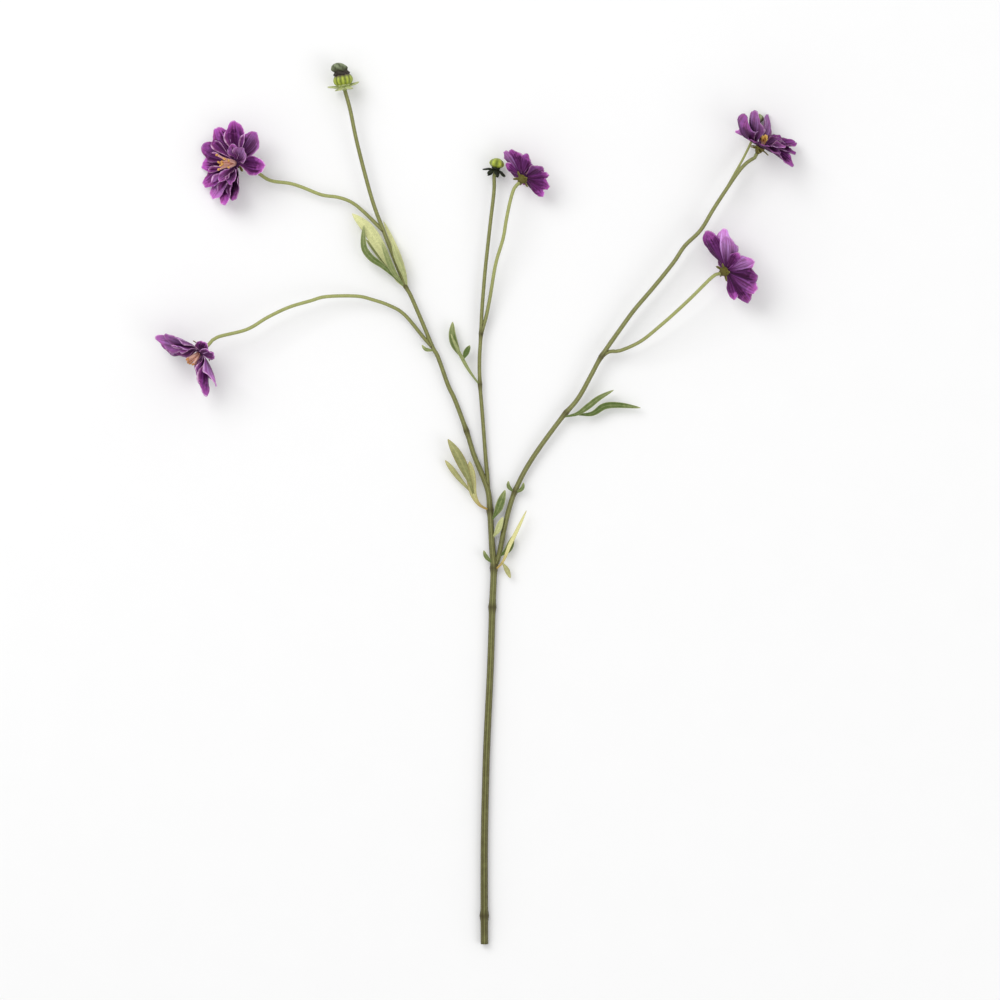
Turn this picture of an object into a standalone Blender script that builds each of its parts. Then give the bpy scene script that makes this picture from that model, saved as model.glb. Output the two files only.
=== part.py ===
"""A cut, branching flower stem with five open blooms and three buds, lying on a surface.

The stem lies along Y with its cut end at -Y, the blooms spread to both sides along X, and Z is the
height above the surface. Everything is in metres; the named sizes below are in millimetres.
"""

import math
import random

import bmesh
import bpy
from mathutils import Matrix, Vector

MM = 0.001
MIDDLE = (-0.1, -1.1)   # the middle of the whole stem in the plane; it is brought onto the origin
GAP = 0.3               # free space left between two pieces that touch

# Stems: radii, how finely the tubes are cut, and how leaves leave them
CUT_END_RADIUS = 2.2
FORK_RADIUS = 1.9
PEDUNCLE_RADIUS = 1.0
PEDUNCLE_START_RADIUS = 1.1
BUD_STEM_RADIUS = 0.7
THICK_STEM = 1.3        # stems wider than this radius have more sides
THICK_STEM_RESOLUTION = 2
THIN_STEM_RESOLUTION = 1
ROUTE_STEP = 17.0
PEDUNCLE_STEP = 9.5
ROOT_ANGLE = 50         # a leaf leaves its stem this far above the side, in degrees
SURFACE_CLEARANCE = 0.3
SEAM = 0.05             # a hair added to a gap so that rounding never closes it

# A bloom, measured from the base of its calyx along its axis
CALYX_HEIGHT = 4.7
CALYX_BASE_RADIUS = 1.2
CALYX_MIDDLE_RADIUS = 2.6
CALYX_TOP_RADIUS = 3.0
RECEPTACLE_RADIUS = 3.2
RECEPTACLE_HEIGHT = 1.6
PETAL_THICKNESS = 0.65
PETAL_WIDEST = 0.66         # where along a petal it reaches its full width
PETAL_ROOT_SHARE = 0.14     # the root's share of a petal's width
PETAL_TIP_NARROWING = 0.36
PETAL_TIP_ROUNDING = 0.13
PETAL_TIP_FLATTENING = 0.7  # how much of the bowl is lost at the tip
INNER_PETAL_WIDENING = 1.15
MIDLINE_STEPS = 24
OUTER_CELLS = (4, 3)
INNER_CELLS = (3, 2)
OUTER_START = (1.5, 0.65, 84)   # radius, height above the receptacle's foot, lean in degrees
INNER_START = (1.3, 1.0, 78)
SEPALS = 5
SEPAL_LENGTH = 8.0
SEPAL_WIDTH = 1.8
SEPAL_ROOT_RADIUS = 2.0
SEPAL_ROOT_DROP = 1.1       # below the top of the calyx
SEPAL_BACKWARD_ANGLE = 12   # a sepal opens this much further than the petals beside it, in degrees
SEPAL_WIDEST_OPENING = 110
DISC_RADIUS = 1.3
DISC_HEIGHT = 1.0
FILAMENTS = 6               # one in the middle, the others in a ring
FILAMENT_RADIUS = 0.45
FILAMENT_RING_RADIUS = 0.55
FILAMENT_LEANS = (14, 26)   # the least and the most, in degrees
ANTHER_LENGTH = 2.6
ANTHER_RADIUS = 0.95

# A bud, measured from the base of its sepals' cup along its axis
BUD_CUP_HEIGHT = 1.6
BUD_CUP_BASE_RADIUS = 1.1
BUD_CUP_TOP_RADIUS = 1.9
BUD_RIBS = 6
BUD_RIB_DEPTH = 0.05        # as shares of the ball's radius
BUD_TAPER = 0.12
BUD_CAP_RADIUS = 4.9
BUD_CAP_CENTRE = (0.6, 0.0, 13.4)
BUD_CAP_FLATNESS = 0.80

# Each bloom: calyx base (x, y), heading in the plane and lift above it in degrees, filament length,
# a petal's width as a share of its length, and the seed of its variation. A petal is (angle,
# opening, length) and, where it is marked, how far its tip turns back and how far it is twisted;
# the angle goes round the axis from the left of the heading (0) over the top (90) to the right
# (180) and under (270)
BLOOMS = {
    "upper_left": dict(
        base=(-140.6, 202.4), heading=180, lift=52, filament=12.0, wide=0.56, seed=3,
        outer=[(8, 80, 22.5), (84, 92, 21.5), (133, 95, 24.5), (170, 80, 25), (212, 80, 24.5),
               (243, 80, 23.9), (270, 80, 22.5), (303, 80, 23.7), (326, 80, 24.5), (347, 80, 25)],
        inner=[(120, 64, 16.5), (165, 56, 12), (335, 58, 14.5), (15, 60, 15)]),
    "lower_left": dict(
        base=(-160.9, 93.0), heading=222, lift=8, filament=8.5, wide=0.5, seed=8,
        outer=[(2, 44, 26.5, 5, 30), (22, 72, 23.5, -10, 4), (72, 112, 19.5), (95, 115, 17.5),
               (150, 60, 25, 5, 25), (178, 52, 27.5, 0, 35), (205, 54, 27, 5, 35), (226, 54, 18.5),
               (272, 100, 16), (306, 60, 21), (336, 46, 24, 0, 30)],
        inner=[(172, 46, 17), (203, 44, 16), (4, 36, 17), (336, 38, 16)]),
    "centre": dict(
        base=(25.1, 190.4), heading=50, lift=-28, filament=6.5, wide=0.56, seed=5,
        outer=[(2, 74, 18), (18, 62, 17), (52, 60, 14), (110, 70, 15.5), (132, 68, 15.5),
               (160, 80, 15.5, 0, -20), (186, 96, 15, -5, -20), (225, 80, 14), (270, 70, 12), (312, 80, 13),
               (346, 97, 13)],
        inner=[(60, 52, 11), (150, 54, 12), (20, 48, 12)]),
    "upper_right": dict(
        base=(167.2, 208.1), heading=62, lift=18, filament=6.0, wide=0.5, seed=11,
        outer=[(25, 80, 26, -90), (335, 98, 18, 0, 30), (45, 34, 28, -10), (62, 76, 16), (100, 66, 16),
               (130, 80, 17), (160, 90, 22.5), (190, 66, 20), (215, 62, 22.5, 0, 0), (245, 74, 18),
               (283, 46, 24.5, 0, 48)],
        inner=[(350, 50, 14), (220, 56, 13), (170, 62, 14)]),
    "lower_right": dict(
        base=(144.8, 136.2), heading=25, lift=-35, filament=6.5, wide=0.56, seed=4,
        outer=[(354, 98, 25.5), (18, 84, 24), (34, 80, 20.5), (68, 80, 14), (97, 70, 19),
               (126, 72, 20.5, 0, -5), (148, 76, 21.5, -5, -20), (170, 84, 22, -5, -20),
               (194, 92, 17, 0, -20), (230, 60, 17), (270, 48, 16), (318, 60, 17)],
        inner=[(20, 70, 15), (160, 58, 16)]),
}

# The main stem runs from the cut end through every fork to the left bud: x, y, height of its middle
MAIN_ROUTE = [
    (4.5, -265.0, 2.85), (4.4, -248.0, 2.85), (4.4, -207.0, 2.85), (5.1, -170.0, 2.85),
    (6.0, -143.0, 2.8), (8.1, -98.0, 2.7), (9.2, -63.0, 2.6), (10.1, -39.6, 2.6),
    (9.2, -29.0, 2.6), (7.8, -5.0, 2.6), (6.7, 6.3, 2.7), (3.2, 16.2, 2.9), (-1.8, 28.2, 3.1),
    (-6.3, 42.6, 3.4), (-13.2, 61.2, 3.8), (-17.4, 70.2, 4.0), (-23.4, 87.0, 4.4),
    (-26.4, 92.4, 4.6), (-32.4, 106.8, 5.0), (-40.2, 124.8, 5.6), (-43.0, 129.5, 5.8),
    (-51.6, 151.2, 6.4), (-55.8, 162.0, 6.8), (-63.0, 181.8, 7.6), (-71.4, 213.6, 9.0),
    (-75.8, 234.6, 10.0), (-78.9, 246.0, 10.4),
]

# Radii along the stems, as (share of the length, radius)
MAIN_RADII = [
    (0.0, CUT_END_RADIUS), (0.42, FORK_RADIUS), (0.52, 1.6), (0.6, 1.3), (0.72, 1.15), (1.0, 1.1),
]
MIDDLE_RADII = [(0.0, 1.3), (0.15, 1.1), (1.0, 1.05)]
RIGHT_RADII = [(0.0, 1.5), (0.5, 1.3), (1.0, 1.05)]
PEDUNCLE_RADII = [(0.0, PEDUNCLE_START_RADIUS), (0.25, PEDUNCLE_RADIUS), (1.0, PEDUNCLE_RADIUS)]
BUD_STEM_RADII = [(0.0, BUD_STEM_RADIUS), (1.0, BUD_STEM_RADIUS)]

# Branches in the plane; the first point lies on the parent, the last leads to a bloom or bud
MIDDLE_ROUTE = [
    (6.7, 6.3), (6.2, 15.6), (5.3, 25.2), (3.3, 51.6), (1.8, 70.4), (1.5, 85.2), (2.4, 100.8),
    (3.0, 115.0), (4.8, 137.4), (6.6, 154.2), (8.2, 168.6), (10.2, 186.0), (10.9, 197.8),
]
RIGHT_ROUTE = [
    (10.2, -39.6), (13.2, -31.8), (17.2, -12.0), (22.7, 6.3), (32.6, 25.2), (49.8, 49.2),
    (60.4, 61.8), (68.2, 75.6), (74.4, 87.0), (85.6, 103.2), (94.4, 115.2), (106.0, 128.8),
    (117.4, 143.0), (124.2, 153.0), (133.8, 162.6), (142.2, 176.4), (155.2, 195.8), (161.6, 203.0),
]
RIGHT_BUD_ROUTE = [
    (142.2, 176.4), (149.5, 188.2), (154.5, 197.0), (158.3, 203.6), (162.0, 210.8), (165.6, 218.4),
    (168.0, 225.6),
]
UPPER_LEFT_ROUTE = [
    (-55.8, 162.0), (-67.4, 173.4), (-75.0, 179.4), (-83.0, 182.4), (-93.0, 183.9),
    (-104.4, 188.4), (-112.2, 190.8), (-123.6, 192.5), (-131.0, 197.0),
]
LOWER_LEFT_ROUTE = [
    (-26.4, 92.4), (-31.8, 98.4), (-43.4, 112.2), (-52.3, 117.6), (-62.4, 121.1), (-72.2, 123.2),
    (-90.1, 122.8), (-99.6, 120.2), (-112.2, 116.4), (-124.8, 110.4), (-137.4, 103.0),
]
CENTRE_ROUTE = [
    (2.4, 100.8), (5.2, 109.8), (7.8, 122.4), (11.2, 142.2), (15.6, 157.2), (17.6, 168.6), (20.0, 180.0),
]
LOWER_RIGHT_ROUTE = [
    (74.4, 87.0), (79.2, 90.0), (85.8, 90.6), (97.8, 96.0), (109.2, 105.0), (118.8, 113.4), (128.4, 122.4),
]

# Swollen joints along the stem, as (x, y), and how much wider they are
STEM_JOINTS = [
    (4.4, -248.0), (9.2, -63.0), (10.1, -39.6), (7.8, -5.0), (-6.3, 42.6), (-43.0, 129.5),
    (1.8, 70.4), (22.7, 6.3), (53.0, 53.5), (74.4, 87.0), (2.4, 100.8),
]
JOINT_SWELLING = 0.28
JOINT_SPREAD = 2.2

# Each bud: heading in the plane, ball radius and its two half heights as shares of the radius, the
# sepals' length, width and count, and how far they turn back
BUDS = {
    "left": dict(heading=100, lift=4, radius=5.6, low=0.80, high=0.95, sepal=8.6, sepal_width=3.2, count=6,
                 back=2, seed=2),
    "centre": dict(heading=78, lift=2, radius=4.3, low=0.66, high=0.80, sepal=6.6, sepal_width=2.8, count=7,
                   back=22, seed=6),
    "right": dict(heading=80, lift=0, radius=3.0, low=0.80, high=0.95, sepal=3.0, sepal_width=2.2, count=5,
                  back=30, seed=9),
}
CENTRE_BUD_HEIGHT = 7.4
RIGHT_BUD_HEIGHT = 3.9

# Leaves and leafy sprigs. Each grows beside the stem that "on" names, nearest to its first point;
# a blade is (width, share of its length where it is widest, points), the points being x, y, height
LEAVES = {
    "whorl_left": dict(on="main", look="pale leaf", blades=[
        (7.6, 0.66, [(-45.4, 127.6, 4.0), (-48.2, 133.2, 3.6), (-52.4, 142.0, 3.4), (-58.6, 153.4, 3.2),
                     (-65.4, 163.6, 3.0), (-74.8, 172.7, 2.8)]),
        (4.4, 0.5, [(-45.4, 127.6, 4.0), (-50.4, 137.0, 1.6), (-54.6, 143.6, 0.2), (-60.4, 150.6, -0.4),
                    (-66.6, 157.4, -0.6)]),
        (4.0, 0.6, [(-45.4, 127.6, 4.0), (-51.0, 136.4, 5.4), (-57.0, 141.6, 5.8), (-63.0, 145.8, 6.0),
                    (-67.2, 151.4, 6.0), (-68.0, 158.4, 5.8), (-67.5, 165.8, 5.4)]),
        (3.6, 0.5, [(-45.4, 127.6, 4.0), (-50.2, 138.4, 6.2), (-54.0, 147.4, 7.4), (-57.0, 155.6, 7.6)])]),
    "whorl_right": dict(on="main", look="pale leaf", blades=[
        (3.6, 0.5, [(-41.4, 129.4, 3.9), (-44.4, 138.2, 5.6), (-48.2, 147.6, 6.6), (-51.0, 156.8, 7.0)]),
        (3.8, 0.5, [(-41.4, 129.4, 3.9), (-43.0, 136.4, 2.4), (-46.6, 146.4, 0.2), (-51.4, 157.8, -0.4),
                    (-56.0, 168.2, -0.4)])]),
    "sprig_low_left": dict(on="main", look="pale leaf", blades=[
        (5.6, 0.7, [(4.6, -4.8, 2.8), (1.4, -1.6, 3.2), (-2.0, 4.4, 3.6), (-3.2, 12.0, 4.0),
                    (-4.4, 24.4, 4.4)]),
        (6.0, 0.6, [(-2.0, 4.4, 3.6), (-4.6, 13.0, 5.6), (-10.6, 26.4, 6.4), (-17.4, 37.6, 6.0)]),
        (3.2, 0.7, [(-2.0, 4.4, 3.4), (-9.6, 12.8, 2.6), (-14.6, 19.2, 2.4), (-19.1, 25.0, 2.4)])]),
    "leaf_low_right": dict(on="main", look="leaf", blades=[
        (5.0, 0.5, [(10.0, -10.6, 2.8), (12.6, -4.6, 3.2), (14.8, 1.4, 3.4), (16.9, 7.2, 3.4)])]),
    "leaf_crotch": dict(on="main", look="pale leaf", blades=[
        (3.8, 0.5, [(11.0, -21.0, 3.0), (12.4, -17.0, 3.6), (14.0, -12.8, 3.8), (15.6, -9.0, 3.8)])]),
    "leaf_fork_right": dict(on="right", look="leaf", blades=[
        (4.4, 0.5, [(15.0, -33.0, 2.2), (18.4, -28.6, 1.0), (20.4, -24.6, 0.6), (21.4, -20.2, 0.4)])]),
    "leaf_fork_left": dict(on="main", look="leaf", blades=[
        (2.6, 0.5, [(7.4, -36.5, 2.4), (5.4, -32.6, 2.6), (4.0, -29.0, 2.8)])]),
    "sprig_fork": dict(on="main", look="pale leaf", blades=[
        (2.4, 0.5, [(13.4, -40.5, 3.0), (15.6, -35.6, 4.0), (19.7, -25.6, 4.6), (23.4, -18.2, 4.8),
                    (29.6, -5.2, 5.0)]),
        (3.0, 0.5, [(15.2, -36.4, 3.9), (17.6, -40.0, 3.2), (20.0, -45.6, 2.4)])]),
    "sprig_middle": dict(on="middle", look="leaf", blades=[
        (2.2, 0.5, [(-0.6, 70.6, 3.6), (-4.2, 78.0, 4.0), (-8.4, 85.2, 4.2), (-13.2, 94.8, 5.8),
                    (-15.6, 100.6, 6.4)]),
        (3.6, 0.5, [(-8.4, 85.2, 4.2), (-6.4, 89.6, 4.6), (-4.2, 93.8, 4.6)]),
        (4.8, 0.5, [(-8.4, 85.2, 3.8), (-13.0, 93.4, 3.0), (-14.8, 100.2, 2.8), (-14.6, 108.0, 2.8)])]),
    "sprig_right": dict(on="right", look="leaf", blades=[
        (4.2, 0.5, [(52.6, 50.6, 5.0), (60.0, 52.8, 5.0), (66.8, 57.4, 5.4), (73.0, 62.2, 5.6),
                    (81.8, 67.0, 5.6)]),
        (4.6, 0.5, [(58.6, 52.4, 4.8), (68.8, 52.8, 3.8), (76.4, 57.4, 3.4), (85.4, 58.0, 3.2),
                    (98.0, 56.4, 3.2)])]),
    "bract_joint_right": dict(on="right", look="leaf", blades=[
        (2.4, 0.5, [(25.2, 5.0, 3.2), (27.0, 8.0, 3.4), (28.0, 11.6, 3.4)])]),
    "bract_joint_left": dict(on="right", look="leaf", blades=[
        (2.4, 0.5, [(20.6, 6.6, 3.2), (19.0, 9.2, 3.4), (18.8, 12.6, 3.4)])]),
    "bract_upper": dict(on="main", look="leaf", blades=[
        (2.2, 0.5, [(-28.2, 89.6, 4.6), (-30.6, 91.4, 4.7), (-33.0, 94.0, 4.8)])]),
}
LEAF_THICKNESS = 0.65
STALK_HALF_WIDTH = 0.55

COLOURS = {
    "stem": ("#74793f", 0.62),
    "petals": ("#5b2468", 0.55),
    "stamens": ("#d9a066", 0.60),
    "calyx": ("#8d8b41", 0.60),
    "bud": ("#9fb43f", 0.58),
    "bud sepals": ("#2c3d1f", 0.62),
    "leaf": ("#728648", 0.60),
    "pale leaf": ("#b9be7c", 0.60),
}


def clear_scene():
    for old in list(bpy.data.objects):
        bpy.data.objects.remove(old, do_unlink=True)


def linear(channel):
    return channel / 12.92 if channel <= 0.04045 else ((channel + 0.055) / 1.055) ** 2.4


def material(name):
    found = bpy.data.materials.get(name)
    if found:
        return found
    code, roughness = COLOURS[name]
    made = bpy.data.materials.new(name)
    made.use_nodes = True
    shader = made.node_tree.nodes["Principled BSDF"]
    rgb = [linear(int(code[i:i + 2], 16) / 255) for i in (1, 3, 5)]
    shader.inputs["Base Color"].default_value = (*rgb, 1.0)
    shader.inputs["Roughness"].default_value = roughness
    shader.inputs["Metallic"].default_value = 0.0
    return made


def collection(name):
    made = bpy.data.collections.new(name)
    bpy.context.scene.collection.children.link(made)
    return made


def mesh_object(name, bm, group):
    """Turn a bmesh, built in millimetres, into an object in metres."""
    bmesh.ops.scale(bm, vec=(MM, MM, MM), verts=bm.verts)
    bmesh.ops.recalc_face_normals(bm, faces=bm.faces)
    mesh = bpy.data.meshes.new(name)
    bm.to_mesh(mesh)
    bm.free()
    made = bpy.data.objects.new(name, mesh)
    group.objects.link(made)
    return made


def evaluated_mesh(source):
    bpy.context.view_layer.update()
    graph = bpy.context.evaluated_depsgraph_get()
    return bpy.data.meshes.new_from_object(source.evaluated_get(graph))


def weld(mesh, distance=0.000001):
    bm = bmesh.new()
    bm.from_mesh(mesh)
    bmesh.ops.remove_doubles(bm, verts=bm.verts, dist=distance)
    bmesh.ops.triangulate(bm, faces=bm.faces)
    bm.to_mesh(mesh)
    bm.free()


def fuse(name, parts, group, look):
    """Join overlapping parts into one solid with a single union on a collection."""
    body, others = parts[0], parts[1:]
    cutters = collection("fused into " + name)
    for other in others:
        for home in list(other.users_collection):
            home.objects.unlink(other)
        cutters.objects.link(other)
    union = body.modifiers.new("union", "BOOLEAN")
    union.operation = "UNION"
    union.operand_type = "COLLECTION"
    union.collection = cutters
    union.solver = "MANIFOLD"
    mesh = evaluated_mesh(body)
    for part in [body] + others:
        bpy.data.objects.remove(part, do_unlink=True)
    bpy.data.collections.remove(cutters)
    mesh.name = name
    made = bpy.data.objects.new(name, mesh)
    group.objects.link(made)
    finish(made, look)
    return made


def finish(made, look):
    made.data.materials.clear()
    made.data.materials.append(material(look))
    made.data.shade_smooth()
    made.data.set_sharp_from_angle(angle=math.radians(40))


def smooth_route(points, step=ROUTE_STEP):
    """Read points at about one step apart from a smooth curve through the route's own points."""
    ends = [points[0] * 2 - points[1]] + points + [points[-1] * 2 - points[-2]]
    out = []
    for a, b, c, d in zip(ends, ends[1:], ends[2:], ends[3:]):
        count = max(1, round((c - b).length / step))
        for i in range(count):
            t = i / count
            out.append(0.5 * (2 * b + (c - a) * t + (2 * a - 5 * b + 4 * c - d) * t * t
                              + (3 * b - a - 3 * c + d) * t ** 3))
    out.append(points[-1].copy())
    return out


def length_shares(points):
    runs = [0.0]
    for a, b in zip(points, points[1:]):
        runs.append(runs[-1] + (b - a).length)
    return [run / runs[-1] for run in runs]


def between(stops, share):
    """Read a value from a list of (share, value) stops."""
    for (a, low), (b, high) in zip(stops, stops[1:]):
        if share <= b:
            return low + (high - low) * (share - a) / (b - a)
    return stops[-1][1]


def swelling(point):
    near = min((Vector(spot) - point.xy).length for spot in STEM_JOINTS)
    return 1.0 + JOINT_SWELLING * math.exp(-(near / JOINT_SPREAD) ** 2)


def tube(name, points, radii, group):
    """A round stem along points, in millimetres, with a radius at each point."""
    curve = bpy.data.curves.new(name, "CURVE")
    curve.dimensions = "3D"
    curve.bevel_depth = MM
    curve.bevel_resolution = THICK_STEM_RESOLUTION if max(radii) > THICK_STEM else THIN_STEM_RESOLUTION
    curve.use_fill_caps = True
    spline = curve.splines.new("POLY")
    spline.points.add(len(points) - 1)
    for spot, point, radius in zip(spline.points, points, radii):
        spot.co = (*(point * MM), 1.0)
        spot.radius = radius
    wire = bpy.data.objects.new(name, curve)
    group.objects.link(wire)
    mesh = evaluated_mesh(wire)
    weld(mesh)
    made = bpy.data.objects.new(name, mesh)
    made.matrix_world = wire.matrix_world
    group.objects.link(made)
    bpy.data.objects.remove(wire, do_unlink=True)
    return made


def direction(heading, lift):
    heading, lift = math.radians(heading), math.radians(lift)
    return Vector((math.cos(heading) * math.cos(lift), math.sin(heading) * math.cos(lift), math.sin(lift)))


def facing(heading, lift):
    """Turn a piece built along +Z to a heading and a lift, with its +X to the left and its +Y up."""
    axis = direction(heading, lift)
    left = direction(heading + 90, 0)
    return Matrix((left, axis.cross(left), axis)).transposed().to_4x4()


def ease(x):
    x = min(1.0, max(0.0, x))
    return x * x * (3 - 2 * x)


def petal_midline(length, opening, curl, start):
    """The middle of a petal from its root to its tip: distance from the axis, height and lean."""
    out, up, first = start
    points = [start]
    run = length / MIDLINE_STEPS
    for i in range(MIDLINE_STEPS):
        share = (i + 0.5) / MIDLINE_STEPS
        lean = first + (opening - first) * ease(share / 0.4) + curl * ease((share - 0.3) / 0.7)
        out += run * math.sin(lean)
        up += run * math.cos(lean)
        points.append((out, up, lean))
    return points


def petal_half_width(width, along):
    """Half of a petal's width: a narrow root, widest at two thirds, a little narrower at the tip."""
    swell = PETAL_ROOT_SHARE + (1 - PETAL_ROOT_SHARE) * ease(along / PETAL_WIDEST)
    return width / 2 * swell * (1 - PETAL_TIP_NARROWING * ease((along - 0.75) / 0.25))


def petal(name, angle, length, width, opening, twist, cup, curl, start, cells, group):
    """One spoon-shaped petal: a grid bent along a midline that opens from the axis, then thickened."""
    bm = bmesh.new()
    bmesh.ops.create_grid(bm, x_segments=cells[0], y_segments=cells[1], size=1.0)
    midline = petal_midline(length, math.radians(opening), math.radians(curl), start)
    for vert in bm.verts:
        along, across = (vert.co.x + 1) / 2, vert.co.y
        place = along * (1 - PETAL_TIP_ROUNDING * across ** 2 * along) * MIDLINE_STEPS
        low = min(MIDLINE_STEPS - 1, int(place))
        part = place - low
        out, up, lean = (a + (b - a) * part for a, b in zip(midline[low], midline[low + 1]))
        half = petal_half_width(width, along)
        flat = 1 - PETAL_TIP_FLATTENING * ease((along - 0.55) / 0.45)
        bowl = half * cup * flat * across ** 2 * ease(along / 0.5)
        turned = math.radians(twist) * ease(along / 0.5)
        side = across * half * math.cos(turned) - bowl * math.sin(turned)
        rise = across * half * math.sin(turned) + bowl * math.cos(turned)
        vert.co = (out - math.cos(lean) * rise, side, up + math.sin(lean) * rise)
    bmesh.ops.triangulate(bm, faces=bm.faces)
    bmesh.ops.rotate(bm, verts=bm.verts, cent=(0, 0, 0), matrix=Matrix.Rotation(math.radians(angle), 3, "Z"))
    made = mesh_object(name, bm, group)
    shell = made.modifiers.new("thickness", "SOLIDIFY")
    shell.thickness = PETAL_THICKNESS * MM
    shell.offset = 0.0
    made.data = evaluated_mesh(made)
    made.modifiers.clear()
    return made


def cylinder(name, radius, low, high, group, sides=12, top=None):
    bm = bmesh.new()
    bmesh.ops.create_cone(bm, cap_ends=True, segments=sides, radius1=radius,
                          radius2=radius if top is None else top, depth=high - low)
    bmesh.ops.translate(bm, verts=bm.verts, vec=(0, 0, (low + high) / 2))
    return mesh_object(name, bm, group)


def opening_at(spec, degrees):
    """How far the outer petals beside an angle round the axis open, at the most."""
    beside = sorted(spec["outer"], key=lambda item: abs((item[0] - degrees + 180) % 360 - 180))[:2]
    return max(item[1] for item in beside)


def petals(name, spec, group):
    """Two rings of petals on a short receptacle."""
    draw = random.Random(spec["seed"])
    low = CALYX_HEIGHT + GAP
    outer_start, inner_start = (
        (radius, low + height, math.radians(lean)) for radius, height, lean in (OUTER_START, INNER_START))
    parts = [cylinder("receptacle", RECEPTACLE_RADIUS, low, low + RECEPTACLE_HEIGHT, group, sides=10)]
    for angle, opening, length, *marked in spec["outer"]:
        curl = marked[0] if marked else draw.uniform(-30, 20)
        twist = marked[1] if len(marked) > 1 else draw.uniform(8, 15)
        parts.append(petal("outer petal", angle, length, length * spec["wide"], opening, twist,
                           draw.uniform(0.25, 0.5), curl, outer_start, OUTER_CELLS, group))
    for angle, opening, length in spec["inner"]:
        width = length * spec["wide"] * INNER_PETAL_WIDENING
        parts.append(petal("inner petal", angle, length, width, opening, draw.uniform(8, 16),
                           draw.uniform(0.35, 0.6), draw.uniform(-35, 0), inner_start, INNER_CELLS, group))
    return fuse(name, parts, group, "petals")


def stamens(name, spec, group):
    """Filaments with an anther each, on a small disc."""
    draw = random.Random(spec["seed"] + 100)
    low = CALYX_HEIGHT + RECEPTACLE_HEIGHT + 2 * GAP
    parts = [cylinder("disc", DISC_RADIUS, low, low + DISC_HEIGHT, group, sides=8)]
    for i in range(FILAMENTS):
        ring = 0 if i == 0 else 1
        turn = 2 * math.pi * i / (FILAMENTS - 1) + draw.uniform(-0.2, 0.2)
        lean = math.radians(ring * draw.uniform(*FILAMENT_LEANS))
        length = spec["filament"] * draw.uniform(0.85, 1.1)
        foot = Matrix.Translation((FILAMENT_RING_RADIUS * ring, 0, low + DISC_HEIGHT * 0.4))
        place = Matrix.Rotation(turn, 4, "Z") @ foot @ Matrix.Rotation(lean, 4, "Y")
        thread = bmesh.new()
        bmesh.ops.create_cone(thread, cap_ends=True, segments=3, radius1=FILAMENT_RADIUS,
                              radius2=FILAMENT_RADIUS * 0.8, depth=length)
        bmesh.ops.transform(thread, matrix=place @ Matrix.Translation((0, 0, length / 2)), verts=thread.verts)
        parts.append(mesh_object("filament", thread, group))
        head = bmesh.new()
        bmesh.ops.create_icosphere(head, subdivisions=1, radius=1.0)
        grow = Matrix.Diagonal((ANTHER_RADIUS, ANTHER_RADIUS, ANTHER_LENGTH / 2, 1))
        bmesh.ops.transform(head, matrix=place @ Matrix.Translation((0, 0, length)) @ grow, verts=head.verts)
        parts.append(mesh_object("anther", head, group))
    return fuse(name, parts, group, "stamens")


def even_points(route, count):
    """Read count + 1 points at even distances from a route."""
    shares = length_shares(route)
    out = []
    for i in range(count + 1):
        want = i / count
        at = next((k for k, share in enumerate(shares[1:]) if share >= want - 1e-9), len(route) - 2)
        part = (want - shares[at]) / (shares[at + 1] - shares[at])
        out.append(route[at].lerp(route[at + 1], part))
    return out


def blade(name, points, width, thickness, group, fold=0.25, count=6, columns=2, peak=0.45):
    """A narrow pointed leaf along points: a folded strip bent to its route, then thickened."""
    route = even_points(smooth_route(points, step=1.0), count)
    shares = length_shares(route)
    bm = bmesh.new()
    bmesh.ops.create_grid(bm, x_segments=count, y_segments=columns, size=1.0)
    for vert in bm.verts:
        index = round((vert.co.x + 1) / 2 * count)
        share, across = shares[index], vert.co.y
        ahead = (route[min(count, index + 1)] - route[max(0, index - 1)]).normalized()
        side = Vector((0, 0, 1)).cross(ahead).normalized()
        up = ahead.cross(side)
        half = leaf_half_width(share, width, peak)
        vert.co = route[index] + side * (across * half) + up * (fold * half * abs(across))
    bmesh.ops.triangulate(bm, faces=bm.faces)
    made = mesh_object(name, bm, group)
    shell = made.modifiers.new("thickness", "SOLIDIFY")
    shell.thickness = thickness * MM
    shell.offset = 0.0
    made.data = evaluated_mesh(made)
    made.modifiers.clear()
    return made


def leaf_half_width(share, width, peak):
    """Half of the width along a leaf: a thin stalk, the widest place at the peak, a fine tip."""
    stalk, tip = STALK_HALF_WIDTH, 0.35
    swell = ease(share / peak) if share < peak else (1 - ((share - peak) / (1 - peak)) ** 2) ** 0.8
    end = stalk if share < peak else tip
    return end + (width / 2 - end) * swell


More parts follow.
